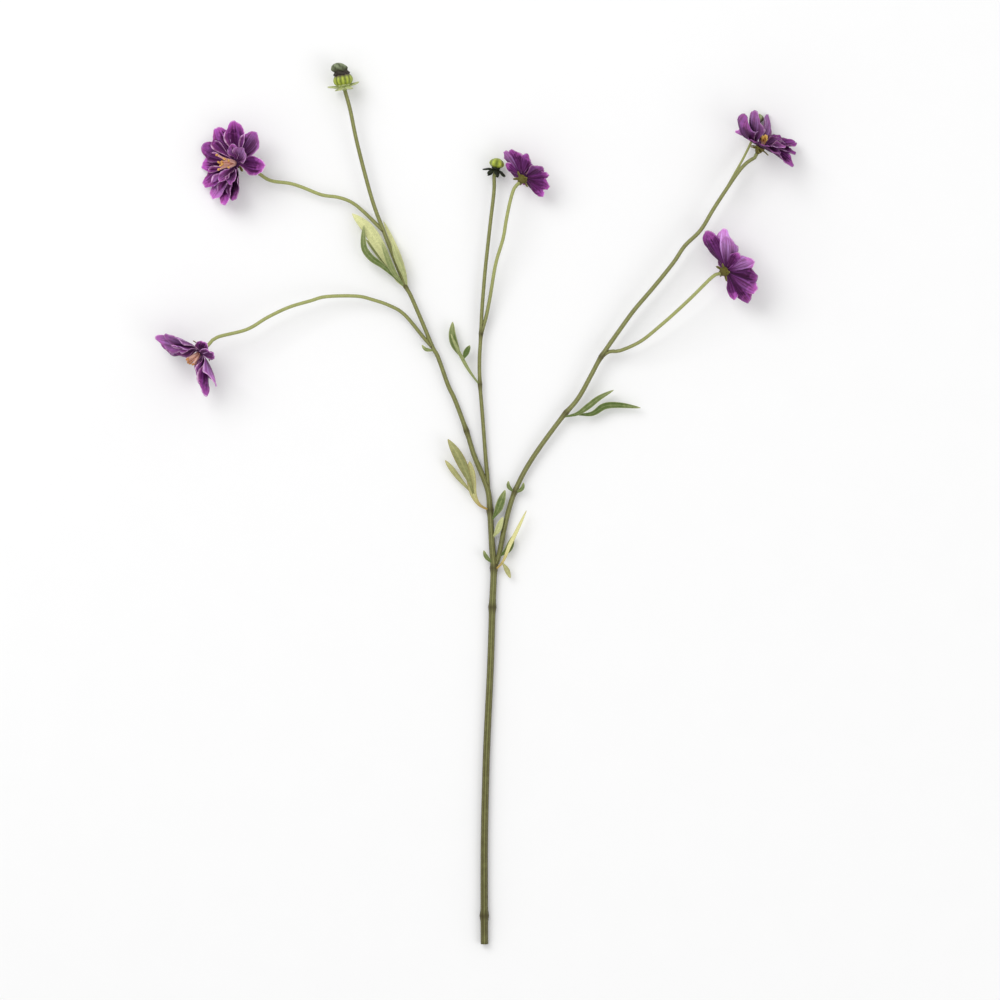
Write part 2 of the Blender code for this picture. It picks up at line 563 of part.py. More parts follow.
def calyx(name, spec, group):
    """The green cup under the petals with narrow sepals that bend back."""
    draw = random.Random(spec["seed"] + 200)
    parts = [
        cylinder("cup", CALYX_BASE_RADIUS, 0, CALYX_HEIGHT * 0.55, group, sides=8, top=CALYX_MIDDLE_RADIUS),
        cylinder("rim", CALYX_MIDDLE_RADIUS - SEAM, CALYX_HEIGHT * 0.5, CALYX_HEIGHT, group, sides=8,
                 top=CALYX_TOP_RADIUS),
    ]
    for i in range(SEPALS):
        degrees = 36 + 360 * i / SEPALS + draw.uniform(-8, 8)
        opening = min(SEPAL_WIDEST_OPENING, opening_at(spec, degrees) + SEPAL_BACKWARD_ANGLE)
        rise = 0.7 / math.tan(math.radians(opening))
        reach = SEPAL_LENGTH * draw.uniform(0.8, 1.05)
        route = [Vector((SEPAL_ROOT_RADIUS + reach * share, 0,
                         CALYX_HEIGHT - SEPAL_ROOT_DROP + reach * rise * share ** 2 - 0.5 * share))
                 for share in (0, 0.4, 0.75, 1)]
        sepal = blade("sepal", route, SEPAL_WIDTH, LEAF_THICKNESS, group, fold=0, count=2, columns=1,
                      peak=0.5)
        sepal.data.transform(Matrix.Rotation(math.radians(degrees), 4, "Z"))
        parts.append(sepal)
    return fuse(name, parts, group, "calyx")


def bud_body(name, spec, group):
    """A ribbed ball that narrows to a small closed tip; the largest bud has a crumpled cap on it."""
    radius = spec["radius"]
    bm = bmesh.new()
    bmesh.ops.create_uvsphere(bm, u_segments=2 * BUD_RIBS, v_segments=7, radius=radius)
    for vert in bm.verts:
        around = math.atan2(vert.co.y, vert.co.x)
        height = vert.co.z / radius
        rib = 1 + BUD_RIB_DEPTH * math.cos(BUD_RIBS * around) * (1 - height ** 2)
        taper = 1 - BUD_TAPER * max(0, height) ** 2
        vert.co.x *= rib * taper
        vert.co.y *= rib * taper
        vert.co.z *= spec["low"] if height < 0 else spec["high"]
    bmesh.ops.translate(bm, verts=bm.verts, vec=(0, 0, radius * spec["low"] + BUD_CUP_HEIGHT + GAP))
    bmesh.ops.triangulate(bm, faces=bm.faces)
    made = mesh_object(name, bm, group)
    if name != "bud_left":
        finish(made, "bud")
        return made
    bm = bmesh.new()
    bmesh.ops.create_uvsphere(bm, u_segments=10, v_segments=6, radius=BUD_CAP_RADIUS)
    bmesh.ops.scale(bm, verts=bm.verts, vec=(1, 1, BUD_CAP_FLATNESS))
    bmesh.ops.translate(bm, verts=bm.verts, vec=BUD_CAP_CENTRE)
    return fuse(name, [made, mesh_object("cap", bm, group)], group, "bud")


def bud_sepals(name, spec, group):
    """A short cup with a star of pointed sepals that turn back over the stem."""
    draw = random.Random(spec["seed"])
    parts = [cylinder("cup", BUD_CUP_BASE_RADIUS, 0, BUD_CUP_HEIGHT, group, sides=8, top=BUD_CUP_TOP_RADIUS)]
    for i in range(spec["count"]):
        reach = spec["sepal"] * draw.uniform(0.85, 1.1)
        back = math.radians(spec["back"] + draw.uniform(-8, 8))
        route = [Vector((0.8, 0, 0.9)),
                 Vector((0.8 + reach * 0.45, 0, 1.0 - reach * 0.30 * math.sin(back))),
                 Vector((0.8 + reach * math.cos(back), 0, 0.9 - reach * math.sin(back)))]
        sepal = blade("sepal", route, spec["sepal_width"], LEAF_THICKNESS, group, fold=0, count=2,
                      columns=1, peak=0.4)
        turn = 2 * math.pi * i / spec["count"] + draw.uniform(-0.12, 0.12)
        sepal.data.transform(Matrix.Rotation(turn, 4, "Z"))
        parts.append(sepal)
    return fuse(name, parts, group, "bud sepals")


def seat(name, place, members, group):
    """Hang the members, built along +Z from the origin, on an empty at their seat."""
    holder = bpy.data.objects.new(name, None)
    holder.matrix_world = place
    group.objects.link(holder)
    for member in members:
        member.parent = holder


def lowest(members, turn):
    return min((turn @ vert.co).z for member in members for vert in member.data.vertices)


def build_bloom(key, spec, group):
    """Build one bloom and stand its lowest petal on the surface. Gives the calyx base in mm."""
    members = [petals("petals_" + key, spec, group), stamens("stamens_" + key, spec, group),
               calyx("calyx_" + key, spec, group)]
    turn = facing(spec["heading"], spec["lift"])
    height = -lowest(members, turn)
    x, y = spec["base"]
    place = Matrix.Translation((x * MM, y * MM, height)) @ turn
    seat("seat_" + key, place, members, group)
    return Vector((x, y, height / MM))


def build_bud(key, spec, base, group):
    members = [bud_body("bud_" + key, spec, group), bud_sepals("sepals_bud_" + key, spec, group)]
    turn = facing(spec["heading"], spec["lift"])
    seat("seat_bud_" + key, Matrix.Translation(base * MM) @ turn, members, group)


def branch_points(flat, start_height, base, axis, lead):
    """Raise a route from its parent to a calyx base, arriving along the bloom's axis."""
    end = base - axis * (GAP + SEAM)
    before = base - axis * lead
    before.z = max(before.z, PEDUNCLE_RADIUS + SURFACE_CLEARANCE)
    shares = length_shares([Vector((x, y, 0)) for x, y in flat] + [Vector((*before.xy, 0))])
    raised = [Vector((x, y, start_height + (before.z - start_height) * ease(share)))
              for (x, y), share in zip(flat, shares)]
    return raised + [before, end]


def main_height_at(x, y):
    spot = min(MAIN_ROUTE, key=lambda point: (point[0] - x) ** 2 + (point[1] - y) ** 2)
    return spot[2]


def stem_line(points, stops, step=ROUTE_STEP):
    """The smooth middle line of a stem, and its radius at each point."""
    route = smooth_route(points, step)
    shares = length_shares(route)
    return route, [between(stops, share) * swelling(point) for share, point in zip(shares, route)]


def stem_lines(bases, bud_bases):
    """Every stem, branch and peduncle: its line and its radii, by name."""
    aim = {key: direction(spec["heading"], spec["lift"]) for key, spec in BLOOMS.items()}
    bud_aim = {key: direction(spec["heading"], spec["lift"]) for key, spec in BUDS.items()}
    main_points = [Vector(point) for point in MAIN_ROUTE]
    main_points[-1] = bud_bases["left"] - bud_aim["left"] * (GAP + SEAM)
    middle = branch_points(MIDDLE_ROUTE[:-1], main_height_at(*MIDDLE_ROUTE[0]), bud_bases["centre"],
                           bud_aim["centre"], 3.0)
    right = branch_points(RIGHT_ROUTE, main_height_at(*RIGHT_ROUTE[0]), bases["upper_right"],
                          aim["upper_right"], 3.0)
    lines = {"main": stem_line(main_points, MAIN_RADII), "middle": stem_line(middle, MIDDLE_RADII),
             "right": stem_line(right, RIGHT_RADII)}
    for key, flat, parent, lead in (
            ("upper_left", UPPER_LEFT_ROUTE, "main", 2.2), ("lower_left", LOWER_LEFT_ROUTE, "main", 8.0),
            ("centre", CENTRE_ROUTE, "middle", 5.0), ("lower_right", LOWER_RIGHT_ROUTE, "right", 6.0)):
        start = nearest(lines[parent], flat[0])[0]
        points = branch_points(flat, start.z, bases[key], aim[key], lead)
        lines["peduncle " + key] = stem_line(points, PEDUNCLE_RADII, PEDUNCLE_STEP)
    start = nearest(lines["right"], RIGHT_BUD_ROUTE[0])[0]
    points = branch_points(RIGHT_BUD_ROUTE[:-1], start.z, bud_bases["right"], bud_aim["right"], 3.0)
    lines["right bud stem"] = stem_line(points, BUD_STEM_RADII)
    return lines


def nearest(line, spot):
    """The point of a stem line nearest to a spot in the plane, its direction and its radius."""
    route, radii = line
    best = None
    for a, b, low, high in zip(route, route[1:], radii, radii[1:]):
        run = (b - a).xy
        part = min(1.0, max(0.0, (Vector(spot[:2]) - a.xy).dot(run) / run.length_squared))
        point = a.lerp(b, part)
        away = (point.xy - Vector(spot[:2])).length
        if best is None or away < best[0]:
            best = (away, point, run.normalized(), low + (high - low) * part)
    return best[1:]


def root_beside(line, spot):
    """Where a leaf leaves its stem: on the upper flank beside the spot, a hair off the bark."""
    point, run, radius = nearest(line, spot)
    normal = Vector((-run.y, run.x))
    if (Vector(spot[:2]) - point.xy).dot(normal) < 0:
        normal = -normal
    away = radius + GAP + STALK_HALF_WIDTH + SEAM
    flat = point.xy + normal * (away * math.cos(math.radians(ROOT_ANGLE)))
    return Vector((*flat, point.z + away * math.sin(math.radians(ROOT_ANGLE))))


def build_leaves(name, spec, lines, group):
    """One leaf, or a sprig of leaves on a shared stalk, grown together as one solid."""
    parts = []
    root = root_beside(lines[spec["on"]], spec["blades"][0][2][0])
    raised = Vector((0, 0, root.z - spec["blades"][0][2][0][2]))
    for i, (width, peak, points) in enumerate(spec["blades"]):
        points = [Vector(point) + raised for point in points]
        if i == 0 or points[0].xy == Vector(spec["blades"][0][2][0][:2]):
            points[0] = root
        count = max(3, min(7, len(points) + 1))
        parts.append(blade(name, points, width, LEAF_THICKNESS, group, count=count, peak=peak))
    if len(parts) > 1:
        return fuse(name, parts, group, spec["look"])
    finish(parts[0], spec["look"])
    return parts[0]


def main():
    clear_scene()
    group = collection("flower stem")
    bases = {key: build_bloom(key, spec, group) for key, spec in BLOOMS.items()}
    bud_bases = {"left": Vector(MAIN_ROUTE[-1]), "centre": Vector((*MIDDLE_ROUTE[-1], CENTRE_BUD_HEIGHT)),
                 "right": Vector((*RIGHT_BUD_ROUTE[-1], RIGHT_BUD_HEIGHT))}
    for key, spec in BUDS.items():
        build_bud(key, spec, bud_bases[key], group)
    lines = stem_lines(bases, bud_bases)
    for name, spec in LEAVES.items():
        build_leaves(name, spec, lines, group)
    fuse("stem", [tube(name, route, radii, group) for name, (route, radii) in lines.items()], group, "stem")
    for made in group.objects:
        if made.parent is None:
            made.location.x -= MIDDLE[0] * MM
            made.location.y -= MIDDLE[1] * MM
    bpy.context.view_layer.update()


main()
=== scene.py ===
"""Looks of the cut flower stem: petals, stamens, green cups, buds, stem and leaves, and the studio.

Sizes in the tables are millimetres. Every finished piece is in metres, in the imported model's frame:
the stem lies along Y with its cut end at -Y, and Z is the height above the surface.
"""

import math
import random

import bmesh
import bpy
from mathutils import Matrix, Vector


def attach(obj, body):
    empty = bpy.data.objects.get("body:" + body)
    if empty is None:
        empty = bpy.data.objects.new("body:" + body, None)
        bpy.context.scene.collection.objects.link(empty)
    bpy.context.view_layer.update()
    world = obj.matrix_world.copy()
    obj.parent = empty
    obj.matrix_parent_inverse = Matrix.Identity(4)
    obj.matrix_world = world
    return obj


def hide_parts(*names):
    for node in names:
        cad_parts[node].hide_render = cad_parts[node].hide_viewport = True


bl_info = {
    "name": "Cut flower stem",
    "version": (1, 0, 0),
    "blender": (4, 5, 0),
    "location": "3D View > Sidebar > Flower",
    "description": "Builds the visible petals, stamens, buds, stem and leaves of a cut flower stem",
    "category": "Add Mesh",
}

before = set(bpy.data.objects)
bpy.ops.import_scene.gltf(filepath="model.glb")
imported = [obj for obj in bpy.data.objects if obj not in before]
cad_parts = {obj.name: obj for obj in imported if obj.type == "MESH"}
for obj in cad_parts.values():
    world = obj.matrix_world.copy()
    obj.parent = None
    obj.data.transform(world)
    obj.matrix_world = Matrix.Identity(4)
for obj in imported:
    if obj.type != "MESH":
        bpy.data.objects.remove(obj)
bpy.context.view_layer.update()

MM = 0.001
UP = Vector((0, 0, 1))
UNTURNED = Matrix.Identity(4)
MIDDLE = (-0.1, -1.1)       # the middle of the whole stem in the plane, brought onto the origin
CAD_GAP = 0.3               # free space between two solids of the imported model
WELD = 0.0005               # vertices closer than this become one

# Stem radii
CUT_END_RADIUS = 2.2
FORK_RADIUS = 1.9
PEDUNCLE_RADIUS = 1.0
PEDUNCLE_START_RADIUS = 1.1
BUD_STEM_RADIUS = 0.7

SURFACE_CLEARANCE = 0.3     # under a flower stalk
SEAM = 0.05                 # added to the gap where a stem meets a cup or a leaf
BRANCH_LEAD = 3.0           # a branch turns onto its bloom's or bud's axis this far before it
STEM_STEP = 2.2
STEM_SIDES = 16
STEM_RIBS = 8
STEM_RIB_DEPTH = 0.04       # share of the radius
STEM_END_INTO_CUP = 0.8     # a branch ends this far inside the cup of its bloom or bud
STEM_END_TAPER = 0.9
GROOVE_PAINTED_SHADE = 5.0           # painted shade: how much darker a groove is painted than a rib, for each share of its depth
FLANK_PAINTED_SHADE = 0.3            # painted light and shade: how much paler the upper side is painted than a flank
FLANK_MIDDLE = 0.6          # the sine of the angle where the painted light of the upper side turns into painted shade on a flank
STEM_LOWEST_TONE = 0.08     # from 0, the colour at the cut end, to 1, the colour of the palest stalks
STEM_TONE_RISE = 0.36
STEM_TONE_SPAN = 480.0      # the rise ends this far above the cut end
PEDUNCLE_PALENESS = 0.42    # added along the first half of a bloom's own stalk
KNOT_BROWN = 0.75           # how brown a swollen joint is

# A bloom, measured from the base of its calyx along its axis
CALYX_HEIGHT = 4.7
RECEPTACLE_HEIGHT = 1.6
BLOOM_CLEARANCE = 0.05      # between the lowest petal and the surface
OUTER_CELLS = (22, 16)
INNER_CELLS = (16, 12)
MIDLINE_STEPS = 32
PETAL_ROOT_SHARE = 0.14     # the root's share of a petal's width
PETAL_TIP_NARROWING = 0.32
PETAL_TIP_ROUNDING = 0.16
PETAL_TIP_FLATTENING = 0.7  # how much of the bowl is lost at the tip
INNER_PETAL_WIDENING = 1.15
INNER_PETAL_LIGHT = 0.15
OUTER_START = (1.5, 0.65, 84)   # radius, height above the receptacle's foot, lean in degrees
INNER_START = (1.3, 1.0, 78)
# How far a petal's tip turns back and how far it is twisted, in degrees, and how deep its bowl is,
# as a share of half its width
OUTER_VARIATION = {"curl": (-30, 20), "twist": (8, 15), "cup": (0.25, 0.5)}
INNER_VARIATION = {"curl": (-35, 0), "twist": (8, 16), "cup": (0.35, 0.6)}

# Places along a petal, from 0 at its root to 1 at its tip
PETAL_CREASED_BY = 0.3
PETAL_OPEN_BY = 0.4
PETAL_BOWED_BY = 0.5
PETAL_WAVY_BY = 0.6
PETAL_WIDEST = 0.66
PETAL_CURLS_FROM = 0.3
PETAL_FLATTENS_FROM = 0.55
PETAL_LOBED_FROM = 0.7
PETAL_NARROWS_FROM = 0.75

# Small shapes of a petal: (height, half width) of a ridge, and (height, radians along, radians
# across) of a wave. The waves' heights are shares of the edge ripple, the others of half the width
PETAL_CREASE = (0.07, 0.12)
PETAL_ROLLED_EDGE = 0.22
PETAL_FOLDS = (0.4, 0, 6)
PETAL_RUFFLES = (0.9, 11, 2)
PETAL_FRILLS = (0.35, 24, 0)
PETAL_TIP_WAVES = (0.6, 0, 5.5)
PETAL_OUTLINE_WAVES = (0.03, 9, 0)      # a share of half the width
PETAL_LOBE_LENGTHS = (0.008, 0.022)     # shares of the petal's length
PETAL_LOBES = 4.2                       # radians from the midline to the edge
SMALL_LOBES = 8.5
SMALL_LOBE_SHARE = 0.3

# Sepals under a bloom
SEPALS = 5
SEPAL_LENGTH = 8.0
SEPAL_WIDTH = 1.8
SEPAL_LENGTHS = (0.8, 1.05)     # the shortest and the longest, as shares of that length
SEPAL_FIRST_ANGLE = 36
SEPAL_ROOT_RADIUS = 2.0
SEPAL_ROOT_DROP = 1.1       # below the top of the calyx
SEPAL_CURVE = 0.7           # how much of the petals' rise it follows
SEPAL_SAG = 0.5             # how far its tip hangs
SEPAL_BACKWARD_ANGLE = 12   # a sepal opens this much further than the petals beside it, in degrees
SEPAL_WIDEST_OPENING = 110
ANGLE_SPREAD = 8            # a sepal may stand this far to either side of its place, in degrees

STAMENS = 9
STAMEN_RADIUS = 0.88
STAMEN_TIP_RADIUS = 0.58
STAMEN_TURN = 0.382         # of a full turn, from each stamen to the next
STAMEN_TURN_SPREAD = 0.25
STAMEN_RING = 0.8           # the radius of the ring that most of them stand on
STAMEN_INNER_SHARE = 0.3    # every fourth one stands further in and straighter
STAMEN_FOOT = 0.2           # above the disc's foot
STAMEN_THICKEST = 0.25      # share of its length
STAMEN_LEANS = (12, 27)     # the least and the most, in degrees
STAMEN_LENGTHS = (0.78, 1.08)   # the shortest and the longest, as shares of the bloom's own
STAMEN_BEND = 0.10          # share of its length
STAMEN_STEPS = 10
STAMEN_TUBE_SIDES = 10
STAMEN_GUIDE = Vector((0.9, 0.4, 0.1))  # never along a thread, so that each tube has a side
ANTHER_HALF_SIZES = (0.858, 0.663, 1.3)
ANTHER_GROOVE = (0.25, 0.3)
ANTHER_TILT = 35            # at the most, in degrees
THREAD_TONES = (0.10, 0.45)         # at a thread's root, and added towards its tip
POLLEN_TONES = (0.66, 0.2, 0.2)     # in a head's middle, and added towards its top and its sides

# Turned shapes as (radius, height, tone), from the axis at the foot to the axis at the top. The
# receptacle is measured from the petals' foot, the disc from the stamens' and the cup from the base
RECEPTACLE = [(0, -0.6, 0.5), (2.6, -0.4, 0.5), (3.1, 0.5, 0.5), (2.7, 1.4, 0.5), (0, 1.7, 0.5)]
DISC = [(0, -0.6, 0.3), (1.3, -0.5, 0.3), (1.4, 0.2, 0.4), (0.9, 0.7, 0.45), (0, 0.9, 0.45)]
CUP = [
    (0, 0, 0.1), (1.05, 0.05, 0.1), (1.35, 0.5, 0.2), (1.9, 1.3, 0.35), (2.5, 2.4, 0.45), (2.85, 3.6, 0.55),
    (2.95, CALYX_HEIGHT - 0.2, 0.8), (2.6, CALYX_HEIGHT + 0.1, 0.8), (1.2, CALYX_HEIGHT + 0.1, 0.5),
    (0, CALYX_HEIGHT + 0.1, 0.5),
]
# Sides, ribs and the ribs' depth as a share of the radius
RECEPTACLE_RIBS = (24, 8, 0.02)
DISC_RIBS = (16, 5, 0.05)
CUP_RIBS = (40, 10, 0.025)
BUD_CUP_RIBS = (32, 8, 0.05)
# A bud's cup: its foot, its flare with radii as shares of the flare's own, and its top on the axis
BUD_FOOT = [(0, -0.1, 0.3), (1.0, 0, 0.3), (1.5, 0.5, 0.4)]
BUD_FLARE = [(0.8, 1.3, 0.5), (1.0, 2.3, 0.7), (0.8, 2.4, 0.6)]
BUD_CUP_TOP = (0, 1.9, 0.5)

# Added to a bloom's or bud's own seed, so that each kind of its pieces has random draws of its own.
# The leaves share one seed
PETAL_SEED = 500
STAMEN_SEED = 100
CUP_SEED = 200
SEPAL_SEED = 700
BUD_SEPAL_SEED = 900
LEAF_SEED = 77

# Each bloom: calyx base (x, y), heading in the plane and lift above it in degrees, filament length,
# a petal's width as a share of its length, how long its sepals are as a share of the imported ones,
# and the seed of its variation. A petal is (angle, opening, length) and, where it is marked, how far
# its tip turns back and how far it is twisted; the angle goes round the axis from the left of the
# heading (0) over the top (90) to the right (180) and under (270). "light" says how pale the petal
# at an angle is, or below 0 how dark, "broad" how much wider it is, and "ripe" how yellow the
# pollen is
BLOOMS = {
    "upper_left": dict(
        base=(-140.6, 202.4), heading=180, lift=52, filament=12.0, wide=0.56, sepals=0.45, seed=3,
        outer=[(8, 80, 22.5), (84, 92, 21.5), (133, 95, 24.5), (170, 80, 25), (212, 80, 24.5),
               (243, 80, 23.9), (270, 80, 22.5), (303, 80, 23.7), (326, 80, 24.5), (347, 80, 25)],
        inner=[(120, 64, 16.5), (165, 56, 12), (335, 58, 14.5), (15, 60, 15)],
        light={133: 0.25, 326: 0.35, 120: 0.75, 8: 0.1}),
    "lower_left": dict(
        base=(-160.9, 93.0), heading=222, lift=8, filament=7.2, wide=0.5, sepals=0.8, seed=8,
        outer=[(2, 44, 26.5, 5, 30), (22, 72, 23.5, -10, 4), (72, 112, 19.5), (95, 115, 17.5),
               (150, 60, 25, 5, 25), (178, 52, 27.5, 0, 35), (205, 54, 27, 5, 35), (226, 54, 18.5),
               (272, 100, 16), (306, 60, 21), (336, 46, 24, 0, 30)],
        inner=[(172, 46, 17), (203, 44, 16), (4, 36, 17), (336, 38, 16)],
        light={178: 0.35, 150: 0.3, 205: 0.1, 22: 0.5, 72: 0.1}, ripe=-0.12),
    "centre": dict(
        base=(25.1, 190.4), heading=50, lift=-28, filament=5.4, wide=0.56, sepals=0.5, seed=5,
        outer=[(2, 74, 18), (18, 62, 17), (52, 60, 14), (110, 70, 15.5), (132, 68, 15.5),
               (160, 80, 15.5, 0, -20), (186, 96, 15, -5, -20), (225, 80, 14), (270, 70, 12), (312, 80, 13),
               (346, 97, 13)],
        inner=[(60, 52, 11), (150, 54, 12), (20, 48, 12)],
        light={2: 0.5, 18: -0.3, 52: -0.4, 110: 0.1, 132: -0.3, 160: -0.3, 186: -0.1}),
    "upper_right": dict(
        base=(167.2, 208.1), heading=62, lift=18, filament=4.4, wide=0.5, sepals=0.6, seed=11,
        outer=[(25, 80, 26, -90), (335, 98, 18, 0, 30), (45, 34, 28, -10), (62, 76, 16), (100, 66, 16),
               (130, 80, 17), (160, 90, 22.5), (190, 66, 20), (215, 62, 22.5, 0, 0), (245, 74, 18),
               (283, 46, 24.5, 0, 48)],
        inner=[(350, 50, 14), (220, 56, 13), (170, 62, 14)],
        light={283: 0.8, 45: 0.5, 25: 0.15, 335: 0.4, 62: -0.8, 100: -0.8, 130: -0.7, 160: -0.5,
               190: -0.3, 215: -0.5, 245: -0.2},
        broad={25: 1.7, 45: 0.9}, ripe=0.4),
    "lower_right": dict(
        base=(144.8, 136.2), heading=25, lift=-35, filament=6.5, wide=0.56, sepals=0.55, seed=4,
        outer=[(354, 98, 25.5), (18, 84, 24), (34, 80, 20.5), (68, 80, 14), (97, 70, 19),
               (126, 72, 20.5, 0, -5), (148, 76, 21.5, -5, -20), (170, 84, 22, -5, -20),
               (194, 92, 17, 0, -20), (230, 60, 17), (270, 48, 16), (318, 60, 17)],
        inner=[(20, 70, 15), (160, 58, 16)],
        light={18: 1.0, 34: 0.7, 68: -0.4, 97: 0.45, 126: -0.4, 148: 0.1, 170: -0.3, 354: -0.2}),
}

# The main stem runs from the cut end through every fork to the left bud: x, y, height of its middle
MAIN_ROUTE = [
    (4.5, -265.0, 2.85), (4.4, -248.0, 2.85), (4.4, -207.0, 2.85), (5.1, -170.0, 2.85),
    (6.0, -143.0, 2.8), (8.1, -98.0, 2.7), (9.2, -63.0, 2.6), (10.1, -39.6, 2.6),
    (9.2, -29.0, 2.6), (7.8, -5.0, 2.6), (6.7, 6.3, 2.7), (3.2, 16.2, 2.9), (-1.8, 28.2, 3.1),
    (-6.3, 42.6, 3.4), (-13.2, 61.2, 3.8), (-17.4, 70.2, 4.0), (-23.4, 87.0, 4.4),
    (-26.4, 92.4, 4.6), (-32.4, 106.8, 5.0), (-40.2, 124.8, 5.6), (-43.0, 129.5, 5.8),
    (-51.6, 151.2, 6.4), (-55.8, 162.0, 6.8), (-63.0, 181.8, 7.6), (-71.4, 213.6, 9.0),
    (-75.8, 234.6, 10.0), (-78.9, 246.0, 10.4),
]

# Radii along the stems, as (share of the length, radius)
MAIN_RADII = [
    (0.0, CUT_END_RADIUS), (0.42, FORK_RADIUS), (0.52, 1.6), (0.6, 1.3), (0.72, 1.15), (1.0, 1.1),
]
MIDDLE_RADII = [(0.0, 1.3), (0.15, 1.1), (1.0, 1.05)]
RIGHT_RADII = [(0.0, 1.5), (0.5, 1.3), (1.0, 1.05)]
PEDUNCLE_RADII = [(0.0, PEDUNCLE_START_RADIUS), (0.25, PEDUNCLE_RADIUS), (1.0, PEDUNCLE_RADIUS)]
BUD_STEM_RADII = [(0.0, BUD_STEM_RADIUS), (1.0, BUD_STEM_RADIUS)]

# Branches in the plane; the first point lies on the parent, the last leads to a bloom or bud
MIDDLE_ROUTE = [
    (6.7, 6.3), (6.2, 15.6), (5.3, 25.2), (3.3, 51.6), (1.8, 70.4), (1.5, 85.2), (2.4, 100.8),
    (3.0, 115.0), (4.8, 137.4), (6.6, 154.2), (8.2, 168.6), (10.2, 186.0), (10.9, 197.8),
]
RIGHT_ROUTE = [
    (10.2, -39.6), (13.2, -31.8), (17.2, -12.0), (22.7, 6.3), (32.6, 25.2), (49.8, 49.2),
    (60.4, 61.8), (68.2, 75.6), (74.4, 87.0), (85.6, 103.2), (94.4, 115.2), (106.0, 128.8),
    (117.4, 143.0), (124.2, 153.0), (133.8, 162.6), (142.2, 176.4), (155.2, 195.8), (161.6, 203.0),
]
RIGHT_BUD_ROUTE = [
    (142.2, 176.4), (149.5, 188.2), (154.5, 197.0), (158.3, 203.6), (162.0, 210.8), (165.6, 218.4),
    (168.0, 225.6),
]
UPPER_LEFT_ROUTE = [
    (-55.8, 162.0), (-67.4, 173.4), (-75.0, 179.4), (-83.0, 182.4), (-93.0, 183.9),
    (-104.4, 188.4), (-112.2, 190.8), (-123.6, 192.5), (-131.0, 197.0),
]
LOWER_LEFT_ROUTE = [
    (-26.4, 92.4), (-31.8, 98.4), (-43.4, 112.2), (-52.3, 117.6), (-62.4, 121.1), (-72.2, 123.2),
    (-90.1, 122.8), (-99.6, 120.2), (-112.2, 116.4), (-124.8, 110.4), (-137.4, 103.0),
]
CENTRE_ROUTE = [
    (2.4, 100.8), (5.2, 109.8), (7.8, 122.4), (11.2, 142.2), (15.6, 157.2), (17.6, 168.6), (20.0, 180.0),
]
LOWER_RIGHT_ROUTE = [
    (74.4, 87.0), (79.2, 90.0), (85.8, 90.6), (97.8, 96.0), (109.2, 105.0), (118.8, 113.4), (128.4, 122.4),
]
# The blooms' own stalks: route, parent, and how far before the bloom they turn onto its axis
PEDUNCLES = {
    "upper_left": (UPPER_LEFT_ROUTE, "main", 2.2), "lower_left": (LOWER_LEFT_ROUTE, "main", 8.0),
    "centre": (CENTRE_ROUTE, "middle", 5.0), "lower_right": (LOWER_RIGHT_ROUTE, "right", 6.0),
}

# Swollen joints along the stem, as (x, y), and how much wider they are
STEM_JOINTS = [
    (4.4, -248.0), (9.2, -63.0), (10.1, -39.6), (7.8, -5.0), (-6.3, 42.6), (-43.0, 129.5),
    (1.8, 70.4), (22.7, 6.3), (53.0, 53.5), (74.4, 87.0), (2.4, 100.8),
]
JOINT_SWELLING = 0.28
JOINT_SPREAD = 2.2

# Each bud: heading in the plane and lift in degrees, ball radius and its two half heights as shares
# of the radius, the ribs round the ball, the sepals' length, width and count, how far they turn
# back, how much further the upper and lower ones do, and how far the star sits up round the ball.
# The left one has a dark collar and a cap on top, each as radius, flatness, centre, darkness and
# lean to the left
BUDS = {
    "left": dict(
        heading=100, lift=4, radius=5.6, low=0.80, high=0.95, ribs=12, sepal=8.6, sepal_width=4.0, count=6,
        back=-6, droop=14, raised=1.3, seed=2,
        top=[(4.6, 0.60, (0.2, 0.0, 10.2), 0.85, 0.2), (4.5, 0.80, (1.0, 0.0, 13.5), 0.0, 1.1)]),
    "centre": dict(
        heading=78, lift=2, radius=4.3, low=0.66, high=0.80, ribs=6, sepal=6.6, sepal_width=3.5, count=7,
        back=6, droop=26, raised=0.0, seed=6, top=[]),
    "right": dict(
        heading=80, lift=0, radius=3.0, low=0.80, high=0.95, ribs=6, sepal=3.0, sepal_width=2.75, count=5,
        back=30, droop=0, raised=0.0, seed=9, top=[]),
}
BUD_HEIGHTS = {"centre": 7.4, "right": 3.9}
BUD_CUP_HEIGHT = 1.6
BUD_RIB_DEPTH = 0.06
BUD_TAPER = 0.12            # how much narrower the ball is towards its top
BUD_TONES = (0.55, 0.4, 0.6)    # of the ball, added on a rib, and taken off down in the cup as painted shade
BUD_CUP_PAINTED_SHADE = (0.45, 0.95)    # where that painted shade starts and is full, down the ball
COLLAR_SHADE = (0.2, 0.65)      # and where the shade of the collar does, up the ball
BUD_CELLS = (72, 36)
CAP_CELLS = (72, 30)
CAP_FOLDS = ((0.09, 5, 2.5), (0.05, 11, -6))    # waves round the cap and up it
CAP_DENTS = (0.10, 3)       # depth, and how many there are round the cap
CAP_PAINTED_SHADE_AND_LIGHT = (0.1, 0.9)      # in the hollows as painted shade, and added on the folds as painted light
CAP_FOLD_CONTRAST = 2.6
CAP_PAINTED_LIGHT_RISE = (-0.4, 0.5)     # painted light from above, rising up the cap, from -1 at its foot to 1 at its top
CAP_FOOT_SHADE = (-0.7, -0.1)
BUD_FLARE_SHARE = 0.62      # of the ball's radius
BUD_FLARE_RISE = 0.8        # added for each millimetre that the star is raised
BUD_SEPAL_ROOT_RADIUS = 0.8
BUD_SEPAL_HEIGHTS = (1.1, 1.6, 0.9)     # of its root, its middle and its tip, where it lies flat
BUD_SEPAL_BEND = (0.45, 0.30)   # where its middle lies along it, and how much of the turn it has
BUD_SEPAL_LENGTHS = (0.85, 1.1)     # the shortest and the longest, as shares of the bud's own
BUD_SEPAL_TURN_SPREAD = 0.12

